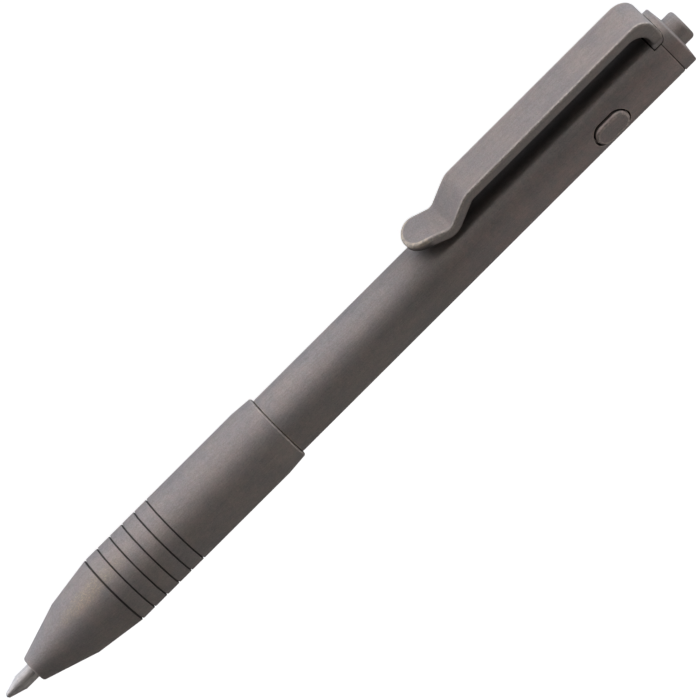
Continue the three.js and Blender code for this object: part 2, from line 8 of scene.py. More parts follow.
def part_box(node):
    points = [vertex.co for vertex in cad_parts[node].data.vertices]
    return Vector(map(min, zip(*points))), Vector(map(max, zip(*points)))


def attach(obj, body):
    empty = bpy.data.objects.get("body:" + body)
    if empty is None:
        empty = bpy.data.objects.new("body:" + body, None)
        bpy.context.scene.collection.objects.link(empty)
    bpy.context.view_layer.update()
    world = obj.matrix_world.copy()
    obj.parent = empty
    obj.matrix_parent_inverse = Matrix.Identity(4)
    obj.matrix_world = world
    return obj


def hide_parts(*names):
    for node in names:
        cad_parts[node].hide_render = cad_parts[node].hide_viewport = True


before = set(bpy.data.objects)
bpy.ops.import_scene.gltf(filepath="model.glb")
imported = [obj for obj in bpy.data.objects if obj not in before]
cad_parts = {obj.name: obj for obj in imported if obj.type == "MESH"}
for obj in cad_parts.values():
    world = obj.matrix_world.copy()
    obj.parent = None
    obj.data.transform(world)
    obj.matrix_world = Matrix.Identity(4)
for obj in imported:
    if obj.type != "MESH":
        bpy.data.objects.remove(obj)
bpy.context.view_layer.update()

# Camera. It looks at the pen from between its clip and its side button, at 45 degrees to both, and is
# rolled so that the pen runs up to the right. It is over a metre away, so perspective is weak.
MM = 0.001
PIXELS_PER_MM = 7.08
PICTURE_PIXELS = 700
PEN_SLOPE = math.radians(44.905)
LOOK_DOWN = math.radians(45.0)
CAMERA_REACH = 1130.0 * MM
CAMERA_OVER_X = 43.31 * MM
TARGET_X = 1.613 * MM
TARGET_ACROSS = 0.46 * MM
SENSOR_MM = 36.0
SIGHT_END = 10000.0 * MM

grip_low, grip_high = (np.array(corner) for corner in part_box("grip_section"))
_, AXIS_Y, AXIS_Z = (grip_low + grip_high) / 2
to_camera = Vector((0, math.cos(LOOK_DOWN), math.sin(LOOK_DOWN)))
crosswise = Vector((0, math.sin(LOOK_DOWN), -math.cos(LOOK_DOWN)))
axis_shift = crosswise * TARGET_ACROSS
target = Vector((TARGET_X, AXIS_Y, AXIS_Z)) + axis_shift
station = Vector((CAMERA_OVER_X, AXIS_Y, AXIS_Z)) + axis_shift + to_camera * CAMERA_REACH
sight = (target - station).normalized()
along = Vector((1, 0, 0))
along = (along - sight * along.dot(sight)).normalized()
sideways = -sight.cross(along)
right = along * math.cos(PEN_SLOPE) - sideways * math.sin(PEN_SLOPE)
up = along * math.sin(PEN_SLOPE) + sideways * math.cos(PEN_SLOPE)
camera_turn = Matrix((right, up, -sight)).transposed().to_4x4()
picture_width = PICTURE_PIXELS / PIXELS_PER_MM * MM
camera_data = bpy.data.cameras.new("camera")
camera_data.sensor_width = SENSOR_MM
camera_data.lens = SENSOR_MM * (target - station).length / picture_width
camera_data.clip_end = SIGHT_END
camera = bpy.data.objects.new("camera", camera_data)
camera.matrix_world = Matrix.Translation(station) @ camera_turn
bpy.context.scene.collection.objects.link(camera)
bpy.context.scene.camera = camera

# Writing tip. The end of the refill: a cone and stem of bright nickel silver, turned on a lathe and
# burnished, whose rim is rolled over the ball. Its sizes and those of the other pieces are written in
# millimetres, with x from the front of the ball.
BALL_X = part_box("writing_ball")[0].x
SIDES = 240
TIP_SIDES = 96
ARC_POINTS = 6
REACH_SHARE = 0.45
OUTER_TURN = 0.6
SHARP_ANGLE = math.radians(32)
NO_EDGE = 9.0
RIM_X = 0.2
RIM_RADIUS = 0.42
SOCKET_RADIUS = 0.38
SOCKET_END_X = 0.58
TIP_CONE_X = 2.62
TIP_CONE_RADIUS = 1.14
STEM_X, STEM_END_X = 2.78, 9.0
STEM_RADIUS = 1.23
PEG_END_X = 12.0
PEG_RADIUS = 0.8
INK_RADIUS = 0.35


def eased(corners):
    """Closed outline with its corners rounded. Each corner is (x, radius from the axis, rounding): the
    arc touches both sides at rounding / tan(half the corner's angle) from the corner, or at REACH_SHARE
    of the shorter side. Gives the points, and their distance along the outline from the nearest outer
    corner whose turn has a sine above OUTER_TURN."""
    corners = np.array(corners, float)
    points, rounding = corners[:, :2], corners[:, 2]
    back, ahead = np.roll(points, 1, 0) - points, np.roll(points, -1, 0) - points
    back_length, ahead_length = np.linalg.norm(back, axis=1), np.linalg.norm(ahead, axis=1)
    back, ahead = back / back_length[:, None], ahead / ahead_length[:, None]
    half = np.arccos(np.clip((back * ahead).sum(1), -1, 1)) / 2
    reach = np.minimum(rounding / np.tan(half), REACH_SHARE * np.minimum(back_length, ahead_length))
    start, end = points + back * reach[:, None], points + ahead * reach[:, None]
    middle = (back + ahead) / np.maximum(np.linalg.norm(back + ahead, axis=1), 1e-9)[:, None]
    centre = points + middle * (reach / np.cos(half))[:, None]
    from_start, from_end = (start - centre)[:, None], (end - centre)[:, None]
    share = np.linspace(0, 1, ARC_POINTS)[None, :, None]
    sweep = (math.pi - 2 * half)[:, None, None]
    spread = np.sin(sweep)
    spread = np.where(spread < 1e-6, 1, spread)
    swept = (np.sin((1 - share) * sweep) * from_start + np.sin(share * sweep) * from_end) / spread
    arcs = centre[:, None] + swept
    middles = (arcs[:, -1] + np.roll(arcs[:, 0], -1, 0)) / 2
    outline = np.concatenate([arcs, middles[:, None]], 1).reshape(-1, 2)
    steps = np.linalg.norm(np.roll(outline, -1, 0) - outline, axis=1)
    place = np.concatenate([[0], np.cumsum(steps)[:-1]])
    turn = (back[:, 0] * ahead[:, 1] - back[:, 1] * ahead[:, 0]) * turn_sign(outline)
    at_arc = place.reshape(-1, ARC_POINTS + 1)[:, :ARC_POINTS][turn > OUTER_TURN].reshape(-1)
    gap = np.abs(place[:, None] - at_arc[None, :])
    edge = np.minimum(gap, steps.sum() - gap).min(1) if len(at_arc) else np.full(len(place), NO_EDGE)
    return outline, edge


def turn_sign(outline):
    """1 where a closed outline runs so that outer corners have back x ahead above zero, else -1."""
    following = np.roll(outline, -1, 0)
    return -np.sign((outline[:, 0] * following[:, 1] - outline[:, 1] * following[:, 0]).sum())


def revolved(outline, edge, sides=SIDES, radius_change=None):
    """Points of an outline carried round the pen's axis: at angle a, a point (x, r) of the outline lies
    r cos a towards the clip and r sin a towards the side button, where radius_change may first make r
    depend on x and a. Quads join neighbours both ways."""
    angle = 2 * math.pi * np.arange(sides) / sides
    x = np.repeat(outline[:, :1], sides, 1)
    radius = np.repeat(outline[:, 1:], sides, 1)
    if radius_change is not None:
        radius = radius_change(x, radius, np.broadcast_to(angle, x.shape))
    points = np.stack([x, radius * np.cos(angle), radius * np.sin(angle)], -1).reshape(-1, 3)
    return points, ring_quads(len(outline), sides, True, True), np.repeat(edge, sides)


def ring_quads(rows, columns, rows_close, columns_close):
    """Corner numbers of the quads of a grid of points, row by row, closed on itself where asked."""
    number = np.arange(rows * columns).reshape(rows, columns)
    if rows_close:
        number = np.concatenate([number, number[:1]])
    if columns_close:
        number = np.concatenate([number, number[:, :1]], 1)
    corners = [number[:-1, :-1], number[:-1, 1:], number[1:, 1:], number[1:, :-1]]
    return np.stack(corners, -1).reshape(-1, 4)


def shape(name, points, quads, edge):
    """Mesh object from points in pen millimetres (x from the ball, towards the clip, towards the
    button) and quads. Points that meet are joined, and faces are turned outward. The attribute edge_mm
    is each point's distance from the nearest outer edge, or NO_EDGE where there is none."""
    mesh = bpy.data.meshes.new(name)
    places = points * MM + np.array([BALL_X, AXIS_Y, AXIS_Z])
    mesh.vertices.add(len(places))
    mesh.vertices.foreach_set("co", places.ravel())
    mesh.loops.add(quads.size)
    mesh.loops.foreach_set("vertex_index", quads.ravel().astype(np.int32))
    mesh.polygons.add(len(quads))
    mesh.polygons.foreach_set("loop_start", np.arange(0, quads.size, 4, dtype=np.int32))
    mesh.update(calc_edges=True)
    edges = mesh.attributes.new("edge_mm", "FLOAT", "POINT")
    edges.data.foreach_set("value", edge.astype(np.float32))
    made = bpy.data.objects.new(name, mesh)
    bpy.context.scene.collection.objects.link(made)
    joined = bmesh.new()
    joined.from_mesh(mesh)
    bmesh.ops.remove_doubles(joined, verts=joined.verts, dist=1e-8)
    bmesh.ops.dissolve_degenerate(joined, edges=joined.edges, dist=1e-9)
    bmesh.ops.recalc_face_normals(joined, faces=joined.faces)
    joined.to_mesh(mesh)
    joined.free()
    return made


def finished(made, body, slot_name, material, *nodes):
    """Smooth shading between the sharp edges, the material, and the piece's place in the frame: its
    body and the CAD nodes that it stands for. The slot name is not used."""
    mesh = made.data
    mesh.polygons.foreach_set("use_smooth", np.ones(len(mesh.polygons), bool))
    mesh.set_sharp_from_angle(angle=SHARP_ANGLE)
    mesh.materials.clear()
    mesh.materials.append(material)
    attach(made, body)
    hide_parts(*nodes)
    return made


class Value:
    """A socket of a node, with arithmetic: each operation adds one Math node."""

    def __init__(self, nodes, socket):
        self.nodes, self.socket = nodes, socket

    def math(self, operation, *others):
        """This value and others, joined by an operation of the Math node."""
        inputs = {i: value for i, value in enumerate((self, *others))}
        return self.nodes.node("ShaderNodeMath", {"operation": operation}, inputs)

    def __add__(self, other):
        return self.math("ADD", other)

    def __sub__(self, other):
        return self.math("SUBTRACT", other)

    def __rsub__(self, other):
        return (self * -1) + other

    def __mul__(self, other):
        return self.math("MULTIPLY", other)

    def __truediv__(self, other):
        return self.math("DIVIDE", other)

    def band(self, low, high, to_low=0.0, to_high=1.0):
        """Smooth step from to_low below low to to_high above high; low may be above high."""
        if low > high:
            low, high, to_low, to_high = high, low, to_high, to_low
        return self.nodes.node("ShaderNodeMapRange", {"interpolation_type": "SMOOTHSTEP"}, {
            "Value": self, "From Min": low, "From Max": high, "To Min": to_low, "To Max": to_high})

    def clamp(self):
        """This value, held between 0 and 1."""
        return self.nodes.node("ShaderNodeClamp", {}, {"Value": self})


class Nodes:
    """The nodes of a material or a world."""

    def __init__(self, holder):
        holder.use_nodes = True
        self.tree = holder.node_tree

    def node(self, kind, settings, inputs, out=0):
        """Adds a node of a kind, with its settings and the values or links of its sockets. The stops of
        a colour ramp are pairs of a place and a colour."""
        made = self.tree.nodes.new(kind)
        for name, value in settings.items():
            if name == "stops":
                ramp = made.color_ramp
                while len(ramp.elements) < len(value):
                    ramp.elements.new(0.5)
                for element, (place, colour) in zip(ramp.elements, value):
                    element.position, element.color = place, (*colour, 1)
            else:
                setattr(made, name, value)
        for name, value in inputs.items():
            self.feed(made.inputs[name], value)
        return Value(self, made.outputs[out])

    def feed(self, socket, value):
        """Links a socket, or sets it. A colour is written without its alpha."""
        if isinstance(value, Value):
            self.tree.links.new(value.socket, socket)
        elif isinstance(value, tuple) and socket.type == "RGBA":
            socket.default_value = (*value, 1)
        else:
            socket.default_value = value


class Finish(Nodes):
    """A material with nodes, whose patterns are laid out in millimetres."""

    def __init__(self, name):
        self.material = bpy.data.materials.new(name)
        super().__init__(self.material)

    def place(self, scale=(1, 1, 1), start=(0, 0, 0)):
        """The point on the piece, in millimetres, stretched by scale and moved by start."""
        coordinates = self.node("ShaderNodeTexCoord", {}, {}, "Object")
        return self.node("ShaderNodeMapping", {}, {
            "Vector": coordinates, "Scale": tuple(s / MM for s in scale), "Location": start})

    def noise(self, place, scale, detail=2.0, roughness=0.5, **more):
        """Cloudy noise, about 0.5, whose grains are about 1 / scale millimetres wide."""
        return self.node("ShaderNodeTexNoise", {}, {
            "Vector": place, "Scale": scale, "Detail": detail, "Roughness": roughness, **more})

    def mix(self, share, first, second, blend="MIX"):
        """Colour mix. Sockets 0, 6 and 7 are the share and the two colours."""
        return self.node("ShaderNodeMix", {"data_type": "RGBA", "blend_type": blend}, {
            0: share, 6: first, 7: second}, 2)

    def bump(self, height, distance, strength=1.0, normal=None):
        """Normals of a skin that is raised by height times distance, on top of other normals."""
        return self.node("ShaderNodeBump", {}, {
            "Height": height, "Distance": distance, "Strength": strength,
            **({} if normal is None else {"Normal": normal})})

    def shade(self, **inputs):
        """Feeds the main shader: base_color is its socket Base Color, and so on."""
        for name, value in inputs.items():
            socket = self.tree.nodes["Principled BSDF"].inputs[name.replace("_", " ").title()]
            self.feed(socket, value)
        return self.material


def lined_metal(name, clean, tarnished, roughness, lines):
    """Turned or drawn metal: fine lines, which run where the scale in lines is least, with faint rubs
    over them and patches of tarnish."""
    finish = Finish(name)
    fine = finish.noise(finish.place(lines), 1.0, 3.0)
    rubs = finish.noise(finish.place((0.25, 3, 3), (4, 1, 6)), 1.0, 2.0)
    tarnish = finish.noise(finish.place(), 0.9, 4.0, 0.6).band(0.45, 0.72)
    colour = finish.mix(fine.band(0.38, 0.56) * (1 - tarnish), tarnished, clean)
    return finish.shade(
        base_color=colour, metallic=1.0,
        roughness=(fine * 0.07 + rubs * 0.05 + tarnish * 0.08 + roughness).clamp(),
        normal=finish.bump(fine, 0.004 * MM, 0.6))


DRAWN = (0.3, 4, 4)
nickel = lined_metal("burnished_nickel", (0.83, 0.765, 0.72), (0.66, 0.61, 0.58), 0.52, DRAWN)
tip_outline, tip_edge = eased([
    (RIM_X, SOCKET_RADIUS, 0.01), (RIM_X, RIM_RADIUS, 0.02), (TIP_CONE_X, TIP_CONE_RADIUS, 0.03),
    (STEM_X - 0.08, TIP_CONE_RADIUS, 0.02), (STEM_X, STEM_RADIUS, 0.04), (STEM_END_X, STEM_RADIUS, 0.05),
    (STEM_END_X, PEG_RADIUS, 0.02), (PEG_END_X, PEG_RADIUS, 0.05), (PEG_END_X, INK_RADIUS, 0.02),
    (SOCKET_END_X + 0.35, INK_RADIUS, 0.02), (SOCKET_END_X, SOCKET_RADIUS, 0.02)])
tip = shape("writing_tip", *revolved(tip_outline, tip_edge, TIP_SIDES))
finished(tip, "plunger", "refill_nickel", nickel, "refill_tip")

# Writing ball. Tungsten carbide, sintered and ground. It rolls in the tip's rim, where it takes up the
# ink.
BALL_RADIUS = 0.35
BALL_ROWS, BALL_SIDES = 25, 48


def carbide():
    """Ground tungsten carbide, with the fine pits of its sintered grain."""
    finish = Finish("carbide")
    pits = finish.noise(finish.place(), 14.0, 2.0).band(0.5, 0.8)
    colour = finish.mix(pits, (0.42, 0.42, 0.43), (0.2, 0.2, 0.21))
    return finish.shade(base_color=colour, metallic=1.0, roughness=pits * 0.2 + 0.18)


half_turn = np.linspace(0, math.pi, BALL_ROWS)
ball_outline = BALL_RADIUS * np.stack([1 - np.cos(half_turn), np.sin(half_turn)], 1)
ball_points, _, ball_edge = revolved(ball_outline, np.full(BALL_ROWS, NO_EDGE), BALL_SIDES)
ball = shape("carbide_ball", ball_points, ring_quads(BALL_ROWS, BALL_SIDES, False, True), ball_edge)
finished(ball, "plunger", "spring_steel", carbide(), "writing_ball")

# Refill's nose. A turned stem of nickel silver, pressed into the ink tube, with the shoulder that takes
# the return spring. It lies inside the grip.


def dressed(material, *names):
    """Gives a material to CAD pieces whose shape stays as it is."""
    for name in names:
        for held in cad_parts[name].material_slots:
            held.material = material


dressed(nickel, "refill_nose")

# Ink tube. A thin drawn tube of nickel silver that holds the ink. The refill's nose is pressed into its
# front end and a plug into its rear end.
drawn_nickel = lined_metal("drawn_nickel", (0.70, 0.69, 0.68), (0.5, 0.49, 0.47), 0.16, DRAWN)
dressed(drawn_nickel, "refill_tube")

# Refill's end plug. Moulded in dark plastic and pressed into the tube, with notches that let air in
# behind the ink.


def moulded_plastic():
    """Dark plastic with a faintly flowing skin."""
    finish = Finish("moulded_plastic")
    flow = finish.noise(finish.place((0.6, 2, 2)), 1.0, 3.0, 0.5, Distortion=1.2)
    skin = finish.noise(finish.place(start=(3, 8, 1)), 7.0, 2.0)
    colour = finish.mix(flow, (0.02, 0.02, 0.024), (0.04, 0.04, 0.045))
    return finish.shade(
        base_color=colour, metallic=0.0, roughness=skin * 0.15 + flow * 0.1 + 0.3,
        normal=finish.bump(skin, 0.01 * MM, 0.3))


dressed(moulded_plastic(), "refill_end_plug")

# Return spring. Coiled from drawn spring wire. It stands in the grip's nose and pushes on the refill's
# shoulder.
steel = lined_metal("spring_wire", (0.56, 0.57, 0.58), (0.47, 0.42, 0.34), 0.2, DRAWN)
dressed(steel, "return_spring")

# Pusher cup. Turned from brass bar, with a socket on each side: the refill's end stands in the front
# one, and the rod is pressed into the rear one. It slides in the barrel's bore.
TURNED = (9, 0.2, 0.2)
brass = lined_metal("turned_brass", (0.78, 0.58, 0.28), (0.45, 0.31, 0.16), 0.18, TURNED)
dressed(brass, "pusher_cup")

# Plunger rod and catch collar. A ground steel rod, pressed into the cup and the end button, and the
# hardened collar on it that the latch holds.
ground_steel = lined_metal("ground_steel", (0.6, 0.6, 0.61), (0.5, 0.47, 0.42), 0.14, TURNED)
dressed(ground_steel, "plunger_rod", "catch_collar")

# Mechanism sleeve. Turned from brass bar, and held between a step in the barrel's bore and the cap. It
# guides the rod and carries the latch.
dressed(brass, "mechanism_sleeve")

# Latch. A leaf of blued spring steel, whose tooth drops in behind the collar. Two steel rivets hold it
# to the sleeve.
blued = lined_metal("blued_leaf", (0.30, 0.33, 0.40), (0.36, 0.30, 0.24), 0.22, DRAWN)
dressed(blued, "latch_spring")
dressed(ground_steel, "latch_rivet_upper", "latch_rivet_lower")

# Grip. The front of the pen, turned from titanium bar: a nose in two cones, six narrow grooves and a
# short taper at its rear. Inside is the thread that takes the barrel. It is stonewashed like the rest.
GRIP_SIDES = 200
GRIP_RADIUS = 5.84
GRIP_REAR_X = 54.25
TAPER_X = GRIP_REAR_X - 3.4
TAPER_RADIUS = 5.58
NOSE_X = 5.45
NOSE_RADIUS = 1.96
NOSE_HOLE = 1.33
NOSE_HOLE_END_X = 8.35
STEP_X, STEP_RADIUS = NOSE_X + 8.17, 4.705
STEP_WIDTH, STEP_HEIGHT = 0.05, 0.04
CONE_END_X = NOSE_X + 16
GROOVE_COUNT = 6
GROOVE_STEP = 2.4415
GROOVE_HALVES = 0.18, 0.13, 0.13, 0.13, 0.13, 0.13
GROOVE_DEPTH = 0.24
GROOVE_FLOOR_SHARE = 0.6
GROOVE_SHADE_REACH, GROOVE_SHADE_TOP = 0.16, 0.03
CHAMBER_RADIUS, CHAMBER_END_X = 2.45, 14.05
GRIP_BORE, GRIP_BORE_X = 3.25, 14.95
GRIP_THREAD = 4.55
GRIP_THREAD_X = 42.15
GRIP_THREAD_ROWS = 96
GRIP_THREAD_RISE = 0.32
THREAD_PITCH = 0.75
TITANIUM = (0.475, 0.427, 0.405)
ROUGHNESS = 0.62
# Edge value that marks faces for painted shade.
SHADE_MARK = 99.0
STREAK_MIDDLE, STREAK_REACH = np.array([19.3, 4.9, 1.9]), np.array([10.0, 1.9, 1.9])


def stonewashed_titanium(name, shade_by_place=None):
    """Tumbled titanium. Its grain is fine specks and short scratches from the stones, over broad warm
    and cool clouds and a few golden flecks, which are stronger in a streak on the nose. Edges are rubbed
    lighter and smoother than the faces: wear, and a painted highlight on their small roundings. Where
    edge_mm is high, from 20 and fully at 60, the colour is darkened towards near black: painted shade in
    grooves, gaps and under the clip. A function of the place on the pen, if given, may change the colour
    and the painted shade."""
    finish = Finish(name)
    clouds = finish.noise(finish.place(), 0.22, 3.0, 0.6)
    patches = finish.noise(finish.place(start=(31, 7, 3)), 1.1, 4.0, 0.65)
    specks = finish.noise(finish.place(start=(5, 17, 29)), 5.5, 3.0, 0.8)
    flecks = finish.noise(finish.place((5, 9, 9), (11, 2, 7)), 1.0, 2.0, 0.6).band(0.55, 0.65)
    streak_start = -(np.array([BALL_X, AXIS_Y, AXIS_Z]) / MM + STREAK_MIDDLE) / STREAK_REACH
    golden = finish.node("ShaderNodeTexGradient", {"gradient_type": "SPHERICAL"}, {
        "Vector": finish.place(tuple(1 / STREAK_REACH), tuple(streak_start))}, "Fac").band(0.0, 0.7)
    scratches = finish.noise(finish.place((0.5, 7, 3), (2, 9, 4)), 1.0, 2.0, 0.6, Distortion=0.6)
    rubbed = finish.noise(finish.place(start=(13, 3, 8)), 2.2, 3.0)
    edge = finish.node("ShaderNodeAttribute", {"attribute_name": "edge_mm"}, {}, "Fac")
    # Painted shade: high edge_mm values darken the colour towards near black.
    painted_shade = edge.band(20.0, 60.0)
    # Lighter rubbed edges: wear, and a painted highlight on their small roundings.
    wear_and_highlight = (edge + rubbed * 0.2).band(0.26, 0.06) * rubbed.band(0.42, 0.6, 0.2, 0.75)
    fine_tone = (specks - 0.5) * 1.5 + (patches - 0.5) * 0.55 + (scratches - 0.5) * 0.5
    tone = fine_tone + (clouds - 0.5) * 0.4 + 0.5
    dark, light = (tuple(share * c for c in TITANIUM) for share in (0.7, 1.3))
    body = finish.mix(tone.clamp(), dark, light)
    warm = finish.mix(clouds.band(0.35, 0.65), (0.985, 0.995, 1.012), (1.02, 0.996, 0.975))
    ruddy = finish.mix(patches.band(0.35, 0.65), (0.985, 1.008, 1.0), (1.015, 0.99, 1.0))
    coloured = finish.mix(1.0, finish.mix(1.0, body, warm, "MULTIPLY"), ruddy, "MULTIPLY")
    gilded = finish.mix(golden * 0.25, coloured, (0.60, 0.50, 0.38))
    flecked = finish.mix(flecks * (golden * 0.5 + 0.09), gilded, (0.88, 0.71, 0.48))
    bright = finish.mix(wear_and_highlight, flecked, (0.84, 0.76, 0.68))
    if shade_by_place is not None:
        bright, painted_shade = shade_by_place(finish, bright, painted_shade, edge, clouds, rubbed)
    colour = finish.mix((painted_shade * 0.72).clamp(), bright, (0.035, 0.03, 0.028))
    roughness = (patches * 0.14 + specks * 0.1 + ROUGHNESS - wear_and_highlight * 0.06).clamp()
    dents = finish.bump(patches, 0.03 * MM, 0.35)
    grain = finish.bump(specks, 0.016 * MM, 0.5, dents)
    return finish.shade(
        base_color=colour, metallic=1.0, roughness=roughness,
        normal=finish.bump(scratches, 0.012 * MM, 0.4, grain))


def thread(plain_radius, from_x, to_x, rise):
    """Change of radius that makes a right-handed thread of the points at the plain radius between two
    places: a rounded triangle wave of x / pitch - angle / full turn, which fades out over one pitch at
    each end."""
    def change(x, radius, angle):
        """Radius plus rise times the wave and the fade."""
        wave = np.abs((x / THREAD_PITCH - angle / (2 * math.pi)) % 1 - 0.5) * 2
        fade = np.clip(np.minimum(x - from_x, to_x - x) / THREAD_PITCH, 0, 1)
        threaded = radius + rise * fade * (wave * wave * (3 - 2 * wave))
        return np.where(np.abs(radius - plain_radius) < 1e-6, threaded, radius)
    return change


titanium = stonewashed_titanium("stonewashed_titanium")
groove_x = CONE_END_X + 0.09 + GROOVE_STEP * np.arange(GROOVE_COUNT)
groove = np.array([
    (-1, 0, 0.04), (-GROOVE_FLOOR_SHARE, -GROOVE_DEPTH, 0.03),
    (GROOVE_FLOOR_SHARE, -GROOVE_DEPTH, 0.03), (1, 0, 0.04)])
groove_size = np.array([(half, 1, 1) for half in GROOVE_HALVES])
groove_place = np.stack([groove_x, np.full(GROOVE_COUNT, GRIP_RADIUS), np.zeros(GROOVE_COUNT)], 1)
grooves = (groove[None] * groove_size[:, None] + groove_place[:, None]).reshape(-1, 3)
thread_rows = [(x, GRIP_THREAD, 0) for x in np.linspace(
    GRIP_REAR_X - 0.35, GRIP_THREAD_X + 0.05, GRIP_THREAD_ROWS)]
grip_outline, grip_edge = eased([
    (NOSE_X + 0.1, NOSE_HOLE, 0.03), (NOSE_X, NOSE_HOLE + 0.1, 0.03), (NOSE_X, NOSE_RADIUS, 0.15),
    (NOSE_X + 0.2, NOSE_RADIUS + 0.2, 0.15), (STEP_X, STEP_RADIUS, 0.01),
    (STEP_X + STEP_WIDTH, STEP_RADIUS + STEP_HEIGHT, 0.02), (CONE_END_X, GRIP_RADIUS, 0.02), *grooves,
    (TAPER_X, GRIP_RADIUS, 0.6), (GRIP_REAR_X - 0.15, TAPER_RADIUS, 0.1),
    (GRIP_REAR_X, TAPER_RADIUS - 0.15, 0.1), (GRIP_REAR_X, GRIP_THREAD, 0.1), *thread_rows,
    (GRIP_THREAD_X, GRIP_THREAD, 0.05), (GRIP_THREAD_X, GRIP_BORE, 0.05), (GRIP_BORE_X, GRIP_BORE, 0.2),
    (CHAMBER_END_X, CHAMBER_RADIUS, 0.2), (NOSE_HOLE_END_X, CHAMBER_RADIUS, 0.05),
    (NOSE_HOLE_END_X, NOSE_HOLE, 0.05)])
grip_x, grip_radius = grip_outline.T
grip_edge = np.where((grip_x > NOSE_X + 1) & (grip_x < GRIP_REAR_X - 1), NO_EDGE, grip_edge)
to_groove = np.abs(grip_x[:, None] - groove_x[None]).min(1)
depth = GRIP_RADIUS - grip_radius
# Painted shade on the floors and walls of the grooves.
in_groove = (depth > GROOVE_SHADE_TOP) & (depth < GROOVE_DEPTH + 0.03) & (to_groove < GROOVE_SHADE_REACH)
grip_edge = np.where(in_groove, SHADE_MARK, grip_edge)
grip_thread = thread(GRIP_THREAD, GRIP_THREAD_X + 0.35, GRIP_REAR_X - 0.65, GRIP_THREAD_RISE)
grip = shape("grip", *revolved(grip_outline, grip_edge, GRIP_SIDES, grip_thread))
finished(grip, "grip", "titanium", titanium, "grip_section")

# O-ring at the root of the barrel's thread. Moulded in black rubber, and stretched into a groove, where
# it keeps the grip from working loose.
RING_X, RING_RADIUS, RING_WIRE = 53.35, 4.1, 0.4
RING_ROWS, RING_SIDES = 24, 144


def moulded_rubber():
    """Black rubber with a dusty, slightly uneven skin."""
    finish = Finish("moulded_rubber")
    skin = finish.noise(finish.place(), 6.0, 3.0)
    colour = finish.mix(skin, (0.012, 0.012, 0.013), (0.035, 0.034, 0.033))
    return finish.shade(
        base_color=colour, metallic=0.0, roughness=skin * 0.3 + 0.45,
        normal=finish.bump(skin, 0.02 * MM, 0.3))


around = 2 * math.pi * np.arange(RING_ROWS) / RING_ROWS
ring_outline = np.stack([
    RING_X + RING_WIRE * np.cos(around), RING_RADIUS + RING_WIRE * np.sin(around)], 1)
ring = shape("o_ring", *revolved(ring_outline, np.full(RING_ROWS, NO_EDGE), RING_SIDES))
finished(ring, "barrel_body", "rubber", moulded_rubber(), "grip_o_ring")

# Barrel. A turned titanium tube with the grip's thread on its front spigot, the slot for the side button
# cut through its wall, and a notch milled across its rear end for the foot of the clip. Under the clip
# its skin is painted darker, as the clip's shadow.
BARREL_RADIUS = 5.0
REAR_BORE, REAR_BORE_X = 4.1, 107.65
TUBE_BORE, TUBE_BORE_X = 3.7, 55.45
SHOULDER_X = GRIP_REAR_X + 0.12
SPIGOT_X = 42.45
SPIGOT_RADIUS = 4.45
SPIGOT_BORE = 3.1
SPIGOT_ROWS = 82
SPIGOT_RISE = -0.36
GLAND_X, GLAND_END_X, GLAND_RADIUS = 52.9, 53.8, 3.65
CAP_X = 130.55
JOINT_GAP = 0.004
JOINT_SLIT = 0.08
JOINT_FLOOR = 4.87
BUTTON_X = 117.55
SLOT_HALF_WIDTH = 2.02
SLOT_REACH = 1.22
SLOT_SHIFT = -0.06
SLOT_EDGE = 0.07
PATCH_HALF = 4.2
PATCH_ROWS = 49
PATCH_COLUMNS = 22
FOOT_X = 129.39
FOOT_FLOOR = 3.62
FOOT_CORNER = 1.0
FOOT_SLIT = 0.16
LEG_REAR_X = 131.68
OVERRUN = 1.0
NOTCH_TOP = BARREL_RADIUS + 1.5
NOTCH_HALF = BARREL_RADIUS + OVERRUN
NOTCH_SHIFT = 0.05

# Places of the painted shade and tints on the barrel and clip, in bands of millimetres: a band begins
# at its first number and is full at its second. From the axis, SHADE_WIDTH and BROWN_SIDE lie towards
# the side button, and SHADE_SIDE and LIP_SHADE towards the clip.
SHADE_WIDTH, SHADE_SIDE, SHADE_RADIUS = (2.7, 1.5), (2.5, 3.5), (5.15, 5.05)
SHADE_FRONT, SHADE_REAR = (91.0, 95.0), (130.5, 129.0)
SHADE_SHARE = 0.7
SEAM_RADIUS, SEAM_FRONT, SEAM_REAR = (4.96, 4.9), (128.9, 129.1), (132.1, 131.9)
BROWN_FRONT, BROWN_SIDE = (84.0, 92.0), (3.3, 4.5)
BROWN_TINT = (1.09, 1.03, 1.035)
LIP_REAR, LIP_RADIUS = (88.6, 87.6), (5.2, 5.4)
LIP_RIM, LIP_RIM_SHARE, LIP_GOLD = (0.2, 0.04), 0.48, (0.87, 0.75, 0.59)
LIP_SHADE, LIP_SHADE_SHARE = (7.85, 7.2), 0.8


